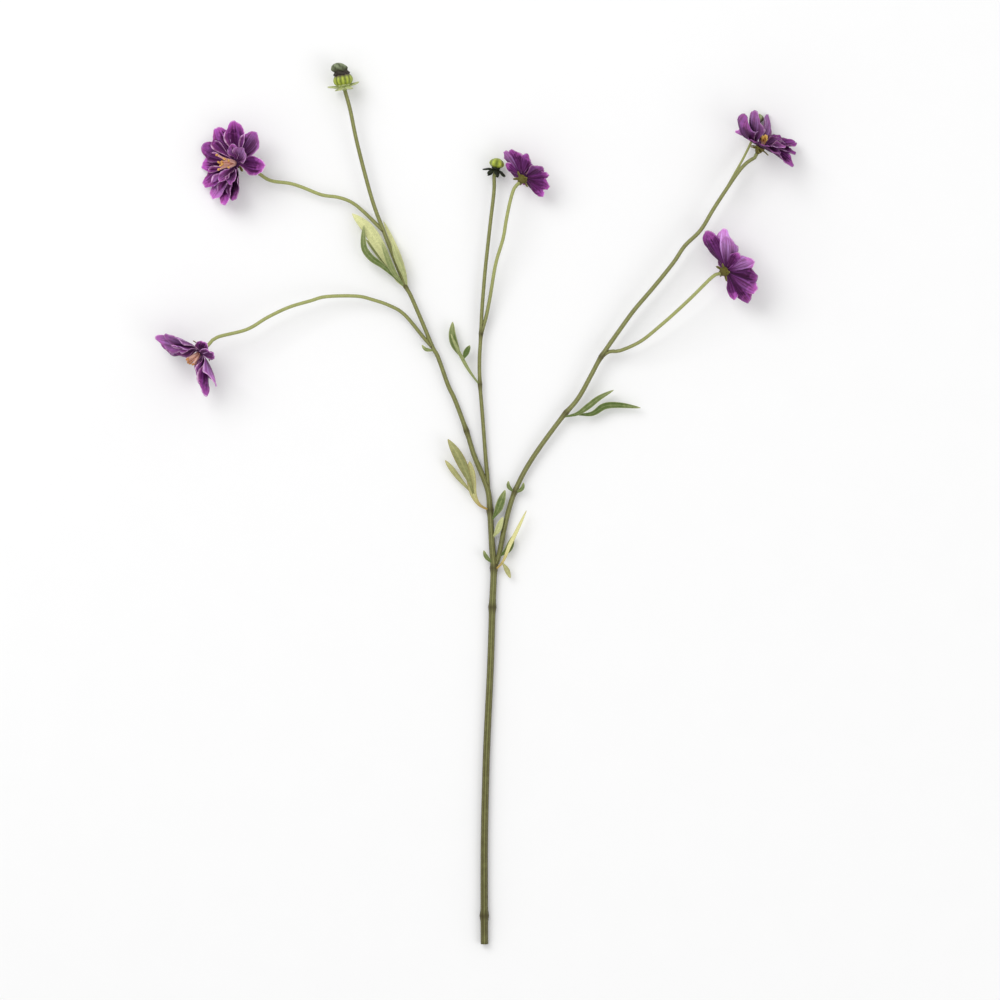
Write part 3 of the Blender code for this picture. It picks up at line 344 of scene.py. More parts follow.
# Leaves and leafy sprigs. Each grows beside the stem that "on" names, nearest to its first point;
# a blade is (width, share of its length where it is widest, points), the points being x, y, height,
# and "tones" says how pale each blade is, from 0, mid green, to 1, pale yellow-green
LEAVES = {
    "whorl_left": dict(on="main", slot="pale_leaf", tones=(0.80, 0.30, 0.05, 0.2), blades=[
        (7.6, 0.66, [(-45.4, 127.6, 4.0), (-48.2, 133.2, 3.6), (-52.4, 142.0, 3.4), (-58.6, 153.4, 3.2),
                     (-65.4, 163.6, 3.0), (-74.8, 172.7, 2.8)]),
        (4.4, 0.5, [(-45.4, 127.6, 4.0), (-50.4, 137.0, 1.6), (-54.6, 143.6, 0.2), (-60.4, 150.6, -0.4),
                    (-66.6, 157.4, -0.6)]),
        (4.0, 0.6, [(-45.4, 127.6, 4.0), (-51.0, 136.4, 5.4), (-57.0, 141.6, 5.8), (-63.0, 145.8, 6.0),
                    (-67.2, 151.4, 6.0), (-68.0, 158.4, 5.8), (-67.5, 165.8, 5.4)]),
        (3.6, 0.5, [(-45.4, 127.6, 4.0), (-50.2, 138.4, 6.2), (-54.0, 147.4, 7.4), (-57.0, 155.6, 7.6)])]),
    "whorl_right": dict(on="main", slot="pale_leaf", tones=(0.45, 1.0), blades=[
        (3.6, 0.5, [(-41.4, 129.4, 3.9), (-44.4, 138.2, 5.6), (-48.2, 147.6, 6.6), (-51.0, 156.8, 7.0)]),
        (3.2, 0.5, [(-41.4, 129.4, 3.9), (-43.0, 136.4, 2.4), (-46.6, 146.4, 0.2), (-51.4, 157.8, -0.4),
                    (-56.0, 168.2, -0.4)])]),
    "sprig_low_left": dict(on="main", slot="pale_leaf", tones=(0.6, 0.25, 0.45), blades=[
        (5.6, 0.7, [(4.6, -4.8, 2.8), (1.4, -1.6, 3.2), (-2.0, 4.4, 3.6), (-3.2, 12.0, 4.0),
                    (-4.4, 24.4, 4.4)]),
        (6.0, 0.6, [(-2.0, 4.4, 3.6), (-4.6, 13.0, 5.6), (-10.6, 26.4, 6.4), (-17.4, 37.6, 6.0)]),
        (3.2, 0.7, [(-2.0, 4.4, 3.4), (-9.6, 12.8, 2.6), (-14.6, 19.2, 2.4), (-19.1, 25.0, 2.4)])]),
    "leaf_low_right": dict(on="main", slot="leaf", tones=(0.05,), blades=[
        (5.0, 0.5, [(10.0, -10.6, 2.8), (12.6, -4.6, 3.2), (14.8, 1.4, 3.4), (16.9, 7.2, 3.4)])]),
    "leaf_crotch": dict(on="main", slot="pale_leaf", tones=(0.6,), blades=[
        (3.8, 0.5, [(11.0, -21.0, 3.0), (12.4, -17.0, 3.6), (14.0, -12.8, 3.8), (15.6, -9.0, 3.8)])]),
    "leaf_fork_right": dict(on="right", slot="leaf", tones=(0.0,), blades=[
        (4.4, 0.5, [(15.0, -33.0, 2.2), (18.4, -28.6, 1.0), (20.4, -24.6, 0.6), (21.4, -20.2, 0.4)])]),
    "leaf_fork_left": dict(on="main", slot="leaf", tones=(0.1,), blades=[
        (2.6, 0.5, [(7.4, -36.5, 2.4), (5.4, -32.6, 2.6), (4.0, -29.0, 2.8)])]),
    "sprig_fork": dict(on="main", slot="pale_leaf", tones=(1.0, 0.5), blades=[
        (2.4, 0.5, [(13.4, -40.5, 3.0), (15.6, -35.6, 4.0), (19.7, -25.6, 4.6), (23.4, -18.2, 4.8),
                    (29.6, -5.2, 5.0)]),
        (3.0, 0.5, [(15.2, -36.4, 3.9), (17.6, -40.0, 3.2), (20.0, -45.6, 2.4)])]),
    "sprig_middle": dict(on="middle", slot="leaf", tones=(0.25, -0.1, 0.1), blades=[
        (2.2, 0.5, [(-0.6, 70.6, 3.6), (-4.2, 78.0, 4.0), (-8.4, 85.2, 4.2), (-13.2, 94.8, 5.8),
                    (-15.6, 100.6, 6.4)]),
        (3.6, 0.5, [(-8.4, 85.2, 4.2), (-6.4, 89.6, 4.6), (-4.2, 93.8, 4.6)]),
        (4.8, 0.5, [(-8.4, 85.2, 3.8), (-13.0, 93.4, 3.0), (-14.8, 100.2, 2.8), (-14.6, 108.0, 2.8)])]),
    "sprig_right": dict(on="right", slot="leaf", tones=(0.05, 0.0), blades=[
        (3.6, 0.5, [(52.6, 50.6, 5.0), (60.0, 52.8, 5.0), (66.8, 57.4, 5.4), (73.0, 62.2, 5.6),
                    (81.8, 67.0, 5.6)]),
        (4.0, 0.45, [(58.6, 52.4, 4.8), (68.8, 52.8, 3.8), (76.4, 57.4, 3.4), (85.4, 58.0, 3.2),
                    (98.0, 56.4, 3.2)])]),
    "bract_joint_right": dict(on="right", slot="leaf", tones=(0.1,), blades=[
        (2.4, 0.5, [(25.2, 5.0, 3.2), (27.0, 8.0, 3.4), (28.0, 11.6, 3.4)])]),
    "bract_joint_left": dict(on="right", slot="leaf", tones=(0.1,), blades=[
        (2.4, 0.5, [(20.6, 6.6, 3.2), (19.0, 9.2, 3.4), (18.8, 12.6, 3.4)])]),
    "bract_upper": dict(on="main", slot="leaf", tones=(0.2,), blades=[
        (2.2, 0.5, [(-28.2, 89.6, 4.6), (-30.6, 91.4, 4.7), (-33.0, 94.0, 4.8)])]),
}
DRY_SPRIGS = ("sprig_low_left", "sprig_fork")
DRY_STALK = 0.8             # how far the stalk of a drying sprig has turned brown
LEAF_CELLS = (26, 8)
LEAF_THICKNESS = 0.45
LEAF_FOLD = 0.25            # how far a half leaf rises from the midrib, as a share of its width
LEAF_WAVES = (0.07, 13, 1)
LEAF_SHOULDER = 0.8         # below 1 the leaf stays broad for longer towards its tip
STALK_HALF_WIDTH = 0.55
LEAF_TIP_HALF_WIDTH = 0.18
MIDRIB = (0.10, 0.16)
# Tones and edge colour of a leaf, and where along or across it each starts or ends
VEIN_TONE = (0.16, 0.14)
LEAF_TIP_PALENESS = 0.18
LEAF_PALES_FROM = 0.6
STALK_DARKNESS = 0.1
STALK_DARK_UNTIL = 0.3
MARGIN_EDGE = 0.4
MARGIN_FROM = 0.75
TIP_EDGE = 0.3
TIP_EDGE_FROM = 0.93
DRY_STALK_UNTIL = 0.45

ROOT_ANGLE = 50             # a leaf leaves its stem this far above the side, in degrees
ROOT_DEPTH = 0.7            # and starts at this share of the stem's radius
CAD_ROUTE_STEP = 17.0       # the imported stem's step, which its leaf roots are set from
CAD_PEDUNCLE_STEP = 9.5
# Small leaves: where each is widest, how far it folds at the midrib, its cells and its tone
SEPAL_SHAPE = (0.4, -0.2, (12, 4), 0.35)
BUD_SEPAL_SHAPE = (0.45, -0.45, (14, 6), 0.4)

# Patterns in the materials
PLEATS_ACROSS = 6.5         # half a petal's width of 6 mm over a pleat every 0.92 mm
PLEATS_ALONG = 1.1          # a pleat runs nearly the whole length
PLEATS_APART = 41.0         # for each share of tone, so that no two petals have the same pleats
PLEAT_REACH = 0.5           # how far the pleats move the colours along a petal
BLOTCH = 2.5
POLLEN_GRAIN = 1 / 2.8      # grains are finer than this, and are drawn as coarse as shows
FLOOR_GRAIN = 25.0
MOTTLE = 0.35               # how far a patch moves between the two greens
# Pale bands round a petal's edge: where each starts across and along it, and its weakest and
# strongest places. The margin is soft and 1.5 mm wide, and the rim in it is 0.5 mm wide
MARGIN = (0.62, 0.84, 0.35, 0.55)
RIM = (0.87, 0.955, 0.2, 0.88)
PLANT_IOR = 1.42            # of tissue full of water
PLANT_SPECULAR = 0.28

# Node settings that several nodes share
ADD = {"operation": "ADD"}
MULTIPLY = {"operation": "MULTIPLY"}
MULTIPLY_ADD = {"operation": "MULTIPLY_ADD"}
CLAMPED = {"use_clamp": True}
SMOOTH = {"interpolation_type": "SMOOTHSTEP"}
# What every colour that a user may change has in common
COLOUR = {"size": 3, "subtype": "COLOR", "min": 0.0, "max": 1.0}

# The photograph's frame: millimetres a pixel on the surface, its size in pixels, and its middle
PIXEL = 0.6
IMAGE = 1000
VIEW_MIDDLE = (13.9, 2.3)

FLOOR_HALF_SIZE = 5.0       # metres, like the lamps' sizes and places
FLOOR_SHADE = 0.985         # the darker places in the floor's paint
WORLD_STRENGTH = 0.72
KEY_LAMP = (1.6, (-1.1, 1.2, 1.9))
FILL_LAMP = (1.4, (1.5, -0.8, 1.6))

# Bases of the blooms and buds, kept here by the operators that set them, for the stem and leaves
made_up = {}


def rgb(code):
    """Turn an sRGB hex colour into linear red, green and blue."""
    channels = [int(code[i:i + 2], 16) / 255 for i in (1, 3, 5)]
    return tuple(c / 12.92 if c <= 0.04045 else ((c + 0.055) / 1.055) ** 2.4 for c in channels)


def ease(x, start=0.0, end=1.0):
    """Rise smoothly from 0 at the start to 1 at the end."""
    x = min(1.0, max(0.0, (x - start) / (end - start)))
    return x * x * (3 - 2 * x)


def wave(shape, along, across, phase=0.0):
    """The height of a row of small waves at a place on a surface."""
    height, lengthwise, crosswise = shape
    return height * math.sin(lengthwise * along + phase + crosswise * across)


def ridge(shape, away):
    """The height of a soft ridge at a distance away from its middle."""
    height, half_width = shape
    return height * math.exp(-(away / half_width) ** 2)


def between(stops, share):
    """Read a value from a list of (share, value) stops."""
    for (a, low), (b, high) in zip(stops, stops[1:]):
        if share <= b:
            return low + (high - low) * (share - a) / (b - a)
    return stops[-1][1]


def direction(heading, lift):
    heading, lift = math.radians(heading), math.radians(lift)
    return Vector((math.cos(heading) * math.cos(lift), math.sin(heading) * math.cos(lift), math.sin(lift)))


def facing(heading, lift):
    """Turn a piece built along +Z to a heading and a lift, with its +X to the left and its +Y up."""
    axis = direction(heading, lift)
    left = direction(heading + 90, 0)
    return Matrix((left, axis.cross(left), axis)).transposed().to_4x4()


def smooth_route(points, step):
    """Read points at about one step apart from a smooth curve through the route's own points."""
    ends = [points[0] * 2 - points[1]] + points + [points[-1] * 2 - points[-2]]
    out = []
    for a, b, c, d in zip(ends, ends[1:], ends[2:], ends[3:]):
        count = max(1, round((c - b).length / step))
        for i in range(count):
            t = i / count
            out.append(0.5 * (2 * b + (c - a) * t + (2 * a - 5 * b + 4 * c - d) * t * t
                              + (3 * b - a - 3 * c + d) * t ** 3))
    out.append(points[-1].copy())
    return out


def length_shares(points):
    runs = [0.0]
    for a, b in zip(points, points[1:]):
        runs.append(runs[-1] + (b - a).length)
    return [run / runs[-1] for run in runs]


def even_points(route, count):
    """Read count + 1 points at even distances from a route."""
    shares = length_shares(route)
    out = []
    for i in range(count + 1):
        want = i / count
        at = next((k for k, share in enumerate(shares[1:]) if share >= want - 1e-9), len(route) - 2)
        part = (want - shares[at]) / (shares[at + 1] - shares[at])
        out.append(route[at].lerp(route[at + 1], part))
    return out


def cross_frame(route, index, guide):
    """The side and the up direction across a route at one of its points."""
    ahead = (route[min(len(route) - 1, index + 1)] - route[max(0, index - 1)]).normalized()
    side = guide.cross(ahead).normalized()
    return side, ahead.cross(side)


def nearest(line, spot):
    """The point of a stem line nearest to a spot in the plane, its direction and its radius."""
    route, radii = line
    best = None
    for a, b, low, high in zip(route, route[1:], radii, radii[1:]):
        run = (b - a).xy
        part = min(1.0, max(0.0, (Vector(spot[:2]) - a.xy).dot(run) / run.length_squared))
        point = a.lerp(b, part)
        away = (point.xy - Vector(spot[:2])).length
        if best is None or away < best[0]:
            best = (away, point, run.normalized(), low + (high - low) * part)
    return best[1:]


def layers(bm, *names):
    """Float layers on the vertices; the materials read them as attributes."""
    return [bm.verts.layers.float.get(name) or bm.verts.layers.float.new(name) for name in names]


def turn_round(bm, angle):
    """Turn a shape round its bloom's or bud's axis."""
    bmesh.ops.rotate(bm, verts=bm.verts, cent=(0, 0, 0), matrix=Matrix.Rotation(angle, 3, "Z"))


def to_object(name, bm):
    """Turn a bmesh, built in millimetres, into an object in metres with its faces pointing out."""
    bmesh.ops.recalc_face_normals(bm, faces=bm.faces)
    bmesh.ops.scale(bm, vec=(MM, MM, MM), verts=bm.verts)
    mesh = bpy.data.meshes.new(name)
    bm.to_mesh(mesh)
    bm.free()
    made = bpy.data.objects.new(name, mesh)
    bpy.context.scene.collection.objects.link(made)
    return made


def join(name, parts):
    """Make one object of several that are closed on their own."""
    with bpy.context.temp_override(active_object=parts[0], object=parts[0], selected_objects=parts,
                                   selected_editable_objects=parts):
        bpy.ops.object.join()
    parts[0].name = name
    parts[0].data.name = name
    return parts[0]


def finish_piece(made, looks, slot, *nodes):
    """Dress a piece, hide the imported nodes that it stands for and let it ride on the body.

    A face takes the look at its own material index.
    """
    for look in looks:
        made.data.materials.append(look)
    made.data.shade_smooth()
    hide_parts(*nodes)
    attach(made, "root")


def place_at(made, base=(0, 0, 0), turn=UNTURNED):
    """Move a piece's mesh to its seat in the frame, turned from +Z to its heading if it has one."""
    x, y, z = base
    made.data.transform(Matrix.Translation(((x - MIDDLE[0]) * MM, (y - MIDDLE[1]) * MM, z * MM)) @ turn)


def add_node(tree, kind, settings=(), values=(), links=(), stops=()):
    """Add a node with its settings, input values, links and, on a ramp, its (place, colour) stops."""
    made = tree.nodes.new(kind)
    for key, value in dict(settings).items():
        setattr(made, key, value)
    for key, value in dict(values).items():
        made.inputs[key].default_value = value
    for key, source in dict(links).items():
        tree.links.new(source, made.inputs[key])
    for i, (place, colour) in enumerate(stops):
        ramp = made.color_ramp.elements
        stop = ramp[i] if i < 2 else ramp.new(place)
        stop.position = place
        stop.color = (*colour, 1.0)
    return made


def start_material(name, roughness, coat=0.0, specular=0.5):
    """A new material with its Principled shader's constant values set on the shader's own sockets."""
    made = bpy.data.materials.new(name)
    made.use_nodes = True
    shader = made.node_tree.nodes["Principled BSDF"]
    shader.inputs["Roughness"].default_value = roughness
    shader.inputs["Metallic"].default_value = 0.0
    shader.inputs["IOR"].default_value = PLANT_IOR
    shader.inputs["Specular IOR Level"].default_value = specular
    shader.inputs["Coat Weight"].default_value = coat
    return made, made.node_tree, shader


def petal_material(settings):
    """Velvety petal: near-black purple throat, violet blotched tip, thin broken pale rim, fine pleats.

    A real petal is a thin wet tissue with rounded surface cells, so it drinks light and is matt,
    with hardly any gloss. Its pleats run from the claw to the tip.
    """
    made, tree, shader = start_material("petal tissue, purple", roughness=0.55, specular=0.12)
    across, along, outer, tone, light = (
        add_node(tree, "ShaderNodeAttribute", {"attribute_name": name}).outputs["Fac"]
        for name in ("across", "along", "outer", "tone", "light"))
    # pleats: noise squeezed across the petal and drawn out along it
    wide, long, each = (
        add_node(tree, "ShaderNodeMath", MULTIPLY, {1: factor}, {0: source}).outputs[0]
        for source, factor in ((across, PLEATS_ACROSS), (along, PLEATS_ALONG), (tone, PLEATS_APART)))
    place = add_node(tree, "ShaderNodeCombineXYZ", links={"X": wide, "Y": long, "Z": each})
    pleats = add_node(tree, "ShaderNodeTexNoise", values={"Scale": 1.0, "Detail": 4.0, "Roughness": 0.55},
                      links={"Vector": place.outputs[0]}).outputs["Fac"]
    position = add_node(tree, "ShaderNodeTexCoord").outputs["Object"]
    patches = add_node(tree, "ShaderNodeTexNoise", values={"Scale": 1 / (BLOTCH * MM), "Detail": 2.0},
                       links={"Vector": position}).outputs["Fac"]
    shift = add_node(tree, "ShaderNodeMath", MULTIPLY_ADD, {1: PLEAT_REACH, 2: -PLEAT_REACH / 2}, {0: pleats})
    reach = add_node(tree, "ShaderNodeMath", ADD, links={0: along, 1: shift.outputs[0]}).outputs[0]
    body = add_node(tree, "ShaderNodeValToRGB", links={"Fac": reach},
                    stops=[(0.0, settings.throat), (1.0, settings.tip), (0.4, settings.body),
                           (0.72, settings.body)]).outputs["Color"]
    # the outer face is rosier and lighter than the inner one
    outer_part = add_node(tree, "ShaderNodeMath", MULTIPLY, {1: 0.15}, {0: outer})
    # violet blotches, stronger towards the tip
    blotch = add_node(tree, "ShaderNodeMapRange", SMOOTH, {"From Min": 0.48, "From Max": 0.64},
                      {"Value": patches})
    near_tip = add_node(tree, "ShaderNodeMapRange", SMOOTH,
                        {"From Min": 0.5, "From Max": 1.0, "To Min": 0.03, "To Max": 0.9}, {"Value": reach})
    blotch_part = add_node(tree, "ShaderNodeMath", MULTIPLY,
                           links={0: blotch.outputs["Result"], 1: near_tip.outputs["Result"]})
    # lighter streaks in the pleats; a pale petal has more and paler ones, most towards its tip
    streak = add_node(tree, "ShaderNodeMapRange", SMOOTH, {"From Min": 0.42, "From Max": 0.66},
                      {"Value": pleats}).outputs["Result"]
    faint = add_node(tree, "ShaderNodeMath", MULTIPLY, {1: 0.28}, {0: streak})
    outward = add_node(tree, "ShaderNodeMapRange", SMOOTH, {"From Min": 0.15, "From Max": 0.85},
                       {"Value": reach})
    ribbed = add_node(tree, "ShaderNodeMath", MULTIPLY_ADD, {1: 0.5, 2: 0.5}, {0: streak})
    most = add_node(tree, "ShaderNodeMath", MULTIPLY,
                    links={0: outward.outputs["Result"], 1: ribbed.outputs[0]})
    pale_part = add_node(tree, "ShaderNodeMath", {**MULTIPLY, **CLAMPED},
                         links={0: light, 1: most.outputs[0]})
    paints = [(outer_part, settings.back), (blotch_part, settings.tip), (faint, settings.tip),
              (pale_part, settings.pale)]
    # the margin and the rim are broken by the blotches and fainter on a dark petal
    off = add_node(tree, "ShaderNodeMath", {"operation": "ABSOLUTE"}, links={0: across})
    not_dark = add_node(tree, "ShaderNodeMath", {**ADD, **CLAMPED}, {1: 1.0}, {0: light})
    for (side_from, tip_from, weakest, strongest), paint in ((MARGIN, settings.tip), (RIM, settings.rim)):
        side = add_node(tree, "ShaderNodeMapRange", SMOOTH, {"From Min": side_from, "From Max": 1.0},
                        {"Value": off.outputs[0]})
        end = add_node(tree, "ShaderNodeMapRange", SMOOTH, {"From Min": tip_from, "From Max": 1.0},
                       {"Value": along})
        band = add_node(tree, "ShaderNodeMath", {"operation": "MAXIMUM"},
                        links={0: side.outputs["Result"], 1: end.outputs["Result"]})
        broken = add_node(
            tree, "ShaderNodeMapRange", (),
            {"From Min": 0.38, "From Max": 0.62, "To Min": weakest, "To Max": strongest}, {"Value": patches})
        whole = add_node(tree, "ShaderNodeMath", MULTIPLY,
                         links={0: band.outputs[0], 1: broken.outputs["Result"]})
        part = add_node(tree, "ShaderNodeMath", MULTIPLY, links={0: whole.outputs[0], 1: not_dark.outputs[0]})
        paints.append((part, paint))
    painted = body
    for part, paint in paints:
        painted = add_node(tree, "ShaderNodeMixRGB", values={"Color2": (*paint, 1.0)},
                           links={"Fac": part.outputs[0], "Color1": painted}).outputs["Color"]
    # each petal a little darker or lighter than its neighbour
    value = add_node(tree, "ShaderNodeMapRange", (), {"To Min": 0.55, "To Max": 1.3}, {"Value": tone})
    # and the light streaks bluer, the dark grooves rosier
    hue = add_node(tree, "ShaderNodeMapRange", (),
                   {"From Min": 0.36, "From Max": 0.64, "To Min": 0.532, "To Max": 0.464}, {"Value": pleats})
    shaded = add_node(
        tree, "ShaderNodeHueSaturation",
        links={"Hue": hue.outputs["Result"], "Value": value.outputs["Result"], "Color": painted})
    tree.links.new(shaded.outputs["Color"], shader.inputs["Base Color"])
    bump = add_node(tree, "ShaderNodeBump", values={"Strength": 0.6, "Distance": 0.0005},
                    links={"Height": pleats})
    tree.links.new(bump.outputs["Normal"], shader.inputs["Normal"])
    return made


def stamen_material(settings):
    """Pollen sacs on pale threads: smooth fleshy threads, and heads coated in a dry golden powder."""
    made, tree, shader = start_material("pollen and stamen thread", roughness=0.62)
    tone = add_node(tree, "ShaderNodeAttribute", {"attribute_name": "tone"}).outputs["Fac"]
    position = add_node(tree, "ShaderNodeTexCoord").outputs["Object"]
    grains = add_node(tree, "ShaderNodeTexNoise", values={"Scale": 1 / (POLLEN_GRAIN * MM), "Detail": 2.0},
                      links={"Vector": position}).outputs["Fac"]
    spread = add_node(tree, "ShaderNodeMath", MULTIPLY_ADD, {1: 0.35, 2: -0.17}, {0: grains})
    mixed = add_node(tree, "ShaderNodeMath", ADD, links={0: tone, 1: spread.outputs[0]})
    colour = add_node(tree, "ShaderNodeValToRGB", links={"Fac": mixed.outputs[0]},
                      stops=[(0.0, rgb("#8a4a44")), (1.0, settings.pollen), (0.22, settings.thread),
                             (0.6, settings.thread), (0.76, rgb("#b9783c"))])
    tree.links.new(colour.outputs["Color"], shader.inputs["Base Color"])
    bump = add_node(tree, "ShaderNodeBump", values={"Strength": 0.5, "Distance": 0.0002},
                    links={"Height": grains})
    tree.links.new(bump.outputs["Normal"], shader.inputs["Normal"])
    return made


def green_material(name, low, high, edge, roughness, patch, grain, coat=0.0):
    """Green plant skin: a waxy outer layer over mottled tissue.

    It runs from one colour to another by the "tone" attribute, is mottled in patches and roughened
    by a grain, both given in millimetres, and takes its edge colour where "edge" is 1.
    """
    made, tree, shader = start_material(name, roughness, coat, PLANT_SPECULAR)
    tone, rim = (add_node(tree, "ShaderNodeAttribute", {"attribute_name": attribute}).outputs["Fac"]
                 for attribute in ("tone", "edge"))
    position = add_node(tree, "ShaderNodeTexCoord").outputs["Object"]
    patches, grains = (
        add_node(tree, "ShaderNodeTexNoise", values={"Scale": 1 / (size * MM), "Detail": detail},
                 links={"Vector": position}).outputs["Fac"]
        for size, detail in ((patch, 3.0), (grain, 2.0)))
    moved = add_node(tree, "ShaderNodeMath", MULTIPLY_ADD, {1: MOTTLE, 2: -MOTTLE / 2}, {0: patches})
    share = add_node(tree, "ShaderNodeMath", {**ADD, **CLAMPED}, links={0: tone, 1: moved.outputs[0]})
    body = add_node(tree, "ShaderNodeMixRGB", values={"Color1": (*low, 1.0), "Color2": (*high, 1.0)},
                    links={"Fac": share.outputs[0]}).outputs["Color"]
    speckle = add_node(tree, "ShaderNodeMapRange", (),
                       {"From Min": 0.35, "From Max": 0.7, "To Min": 0.84, "To Max": 1.12}, {"Value": grains})
    varied = add_node(tree, "ShaderNodeHueSaturation",
                      links={"Value": speckle.outputs["Result"], "Color": body}).outputs["Color"]
    edged = add_node(tree, "ShaderNodeMixRGB", values={"Color2": (*edge, 1.0)},
                     links={"Fac": rim, "Color1": varied}).outputs["Color"]
    tree.links.new(edged, shader.inputs["Base Color"])
    bump = add_node(tree, "ShaderNodeBump", values={"Strength": 0.4, "Distance": grain * MM * 0.3},
                    links={"Height": grains})
    tree.links.new(bump.outputs["Normal"], shader.inputs["Normal"])
    return made


def petal_midline(length, opening, curl, start):
    """The middle of a petal from its root to its tip: distance from the axis, height and lean."""
    out, up, first = start
    points = [start]
    run = length / MIDLINE_STEPS
    for i in range(MIDLINE_STEPS):
        share = (i + 0.5) / MIDLINE_STEPS
        opened = first + (opening - first) * ease(share, 0, PETAL_OPEN_BY)
        lean = opened + curl * ease(share, PETAL_CURLS_FROM)
        out += run * math.sin(lean)
        up += run * math.cos(lean)
        points.append((out, up, lean))
    return points


def petal_half_width(width, along):
    """Half of a petal's width: a narrow root, widest at two thirds, a little narrower at the tip."""
    swell = PETAL_ROOT_SHARE + (1 - PETAL_ROOT_SHARE) * ease(along, 0, PETAL_WIDEST)
    return width / 2 * swell * (1 - PETAL_TIP_NARROWING * ease(along, PETAL_NARROWS_FROM))


def petal_waves(along, across, phase):
    """A petal's folds, ruffles that fade to the midline, frills at the very edge, and wavy tip."""
    return ease(along, 0, PETAL_WAVY_BY) * (
        wave(PETAL_FOLDS, along, across, phase[2])
        + wave(PETAL_RUFFLES, along, across, phase[3]) * across ** 2
        + wave(PETAL_FRILLS, along, across, 3 * phase[1]) * across ** 4
        + wave(PETAL_TIP_WAVES, along, across, phase[0]) * ease(along, PETAL_LOBED_FROM))


def petal(angle, length, width, opening, twist, cup, curl, start, cells, settings, light, draw):
    """One spoon-shaped petal: a grid bent along a midline that opens from the axis, then thickened.

    Its sides roll in, its edge waves and its tip is lobed; draw gives the small irregularities.
    """
    bm = bmesh.new()
    across_l, along_l, outer_l, tone_l, light_l = layers(bm, "across", "along", "outer", "tone", "light")
    bmesh.ops.create_grid(bm, x_segments=cells[0], y_segments=cells[1], size=1.0)
    midline = petal_midline(length, math.radians(opening), math.radians(curl), start)
    tone = draw.uniform(0.1, 0.9) + min(0.0, light)
    phase = [draw.uniform(0, 2 * math.pi) for _ in range(4)]
    lobe = draw.uniform(*PETAL_LOBE_LENGTHS)
    ripple = settings.ripple / MM
    for vert in bm.verts:
        along, across = (vert.co.x + 1) / 2, vert.co.y
        lobes = lobe * ease(along, PETAL_LOBED_FROM) * (
            math.cos(PETAL_LOBES * across + phase[0])
            + SMALL_LOBE_SHARE * math.cos(SMALL_LOBES * across + phase[2]))
        place = min(1.0, along * (1 - PETAL_TIP_ROUNDING * across ** 2 * along) + lobes) * MIDLINE_STEPS
        low = min(MIDLINE_STEPS - 1, int(place))
        part = place - low
        out, up, lean = (a + (b - a) * part for a, b in zip(midline[low], midline[low + 1]))
        half = petal_half_width(width, along) \
            * (1 + wave(PETAL_OUTLINE_WAVES, along, across, phase[1]) * abs(across))
        flat = 1 - PETAL_TIP_FLATTENING * ease(along, PETAL_FLATTENS_FROM)
        bowed = ease(along, 0, PETAL_BOWED_BY)
        crease = ridge(PETAL_CREASE, across) * ease(along, 0, PETAL_CREASED_BY)
        rolled = (cup * across ** 2 + PETAL_ROLLED_EDGE * across ** 6) * flat * bowed
        bowl = half * (rolled - crease) + ripple * petal_waves(along, across, phase)
        turned = math.radians(twist) * bowed
        side = across * half * math.cos(turned) - bowl * math.sin(turned)
        rise = across * half * math.sin(turned) + bowl * math.cos(turned)
        vert.co = (out - math.cos(lean) * rise, side, up + math.sin(lean) * rise)
        vert[across_l], vert[along_l] = across, along
        vert[tone_l], vert[light_l] = tone, light
    sheet = set(bm.verts)
    bmesh.ops.solidify(bm, geom=bm.faces[:], thickness=settings.thickness / MM)
    for vert in bm.verts:
        vert[outer_l] = 0.0 if vert in sheet else 1.0
    turn_round(bm, math.radians(angle))
    return to_object("petal", bm)


def turned_solid(profile, foot, sides, ribs, depth):
    """Spin a closed profile round Z from its foot's height; ribs run along it, depth deep as a share."""
    bm = bmesh.new()
    [tone_l] = layers(bm, "tone")
    line = [bm.verts.new((radius, 0, foot + height)) for radius, height, tone in profile]
    for vert, (radius, height, tone) in zip(line, profile):
        vert[tone_l] = tone
    edges = [bm.edges.new(pair) for pair in zip(line, line[1:])]
    bmesh.ops.spin(bm, geom=line + edges, cent=(0, 0, 0), axis=(0, 0, 1), dvec=(0, 0, 0),
                   angle=2 * math.pi, steps=sides, use_merge=True, use_duplicate=False)
    bmesh.ops.remove_doubles(bm, verts=bm.verts, dist=WELD)
    for vert in bm.verts:
        turn = math.atan2(vert.co.y, vert.co.x)
        grow = 1 + depth * math.cos(ribs * turn)
        vert.co.x *= grow
        vert.co.y *= grow
    return bm


def bloom_petals(key, spec, settings):
    """All petals of one bloom, rooted in a small receptacle."""
    draw = random.Random(spec["seed"])
    detail = random.Random(spec["seed"] + PETAL_SEED)
    low = CALYX_HEIGHT + CAD_GAP
    parts = [to_object("receptacle", turned_solid(RECEPTACLE, low, *RECEPTACLE_RIBS))]
    outer_start, inner_start = (
        (radius, low + height, math.radians(lean)) for radius, height, lean in (OUTER_START, INNER_START))
    light = spec["light"]
    for angle, opening, length, *marked in spec["outer"]:
        curl = marked[0] if marked else draw.uniform(*OUTER_VARIATION["curl"])
        twist = marked[1] if len(marked) > 1 else draw.uniform(*OUTER_VARIATION["twist"])
        cup = draw.uniform(*OUTER_VARIATION["cup"])
        width = length * spec["wide"] * spec.get("broad", {}).get(angle, 1.0)
        parts.append(petal(angle, length, width, opening, twist, cup, curl, outer_start, OUTER_CELLS,
                           settings, light.get(angle, 0.0), detail))
    for angle, opening, length in spec["inner"]:
        width = length * spec["wide"] * INNER_PETAL_WIDENING
        twist, cup, curl = (draw.uniform(*INNER_VARIATION[name]) for name in ("twist", "cup", "curl"))
        parts.append(petal(angle, length, width, opening, twist, cup, curl, inner_start, INNER_CELLS,
                           settings, light.get(angle, INNER_PETAL_LIGHT), detail))
    return join("bloom_petals_" + key, parts)


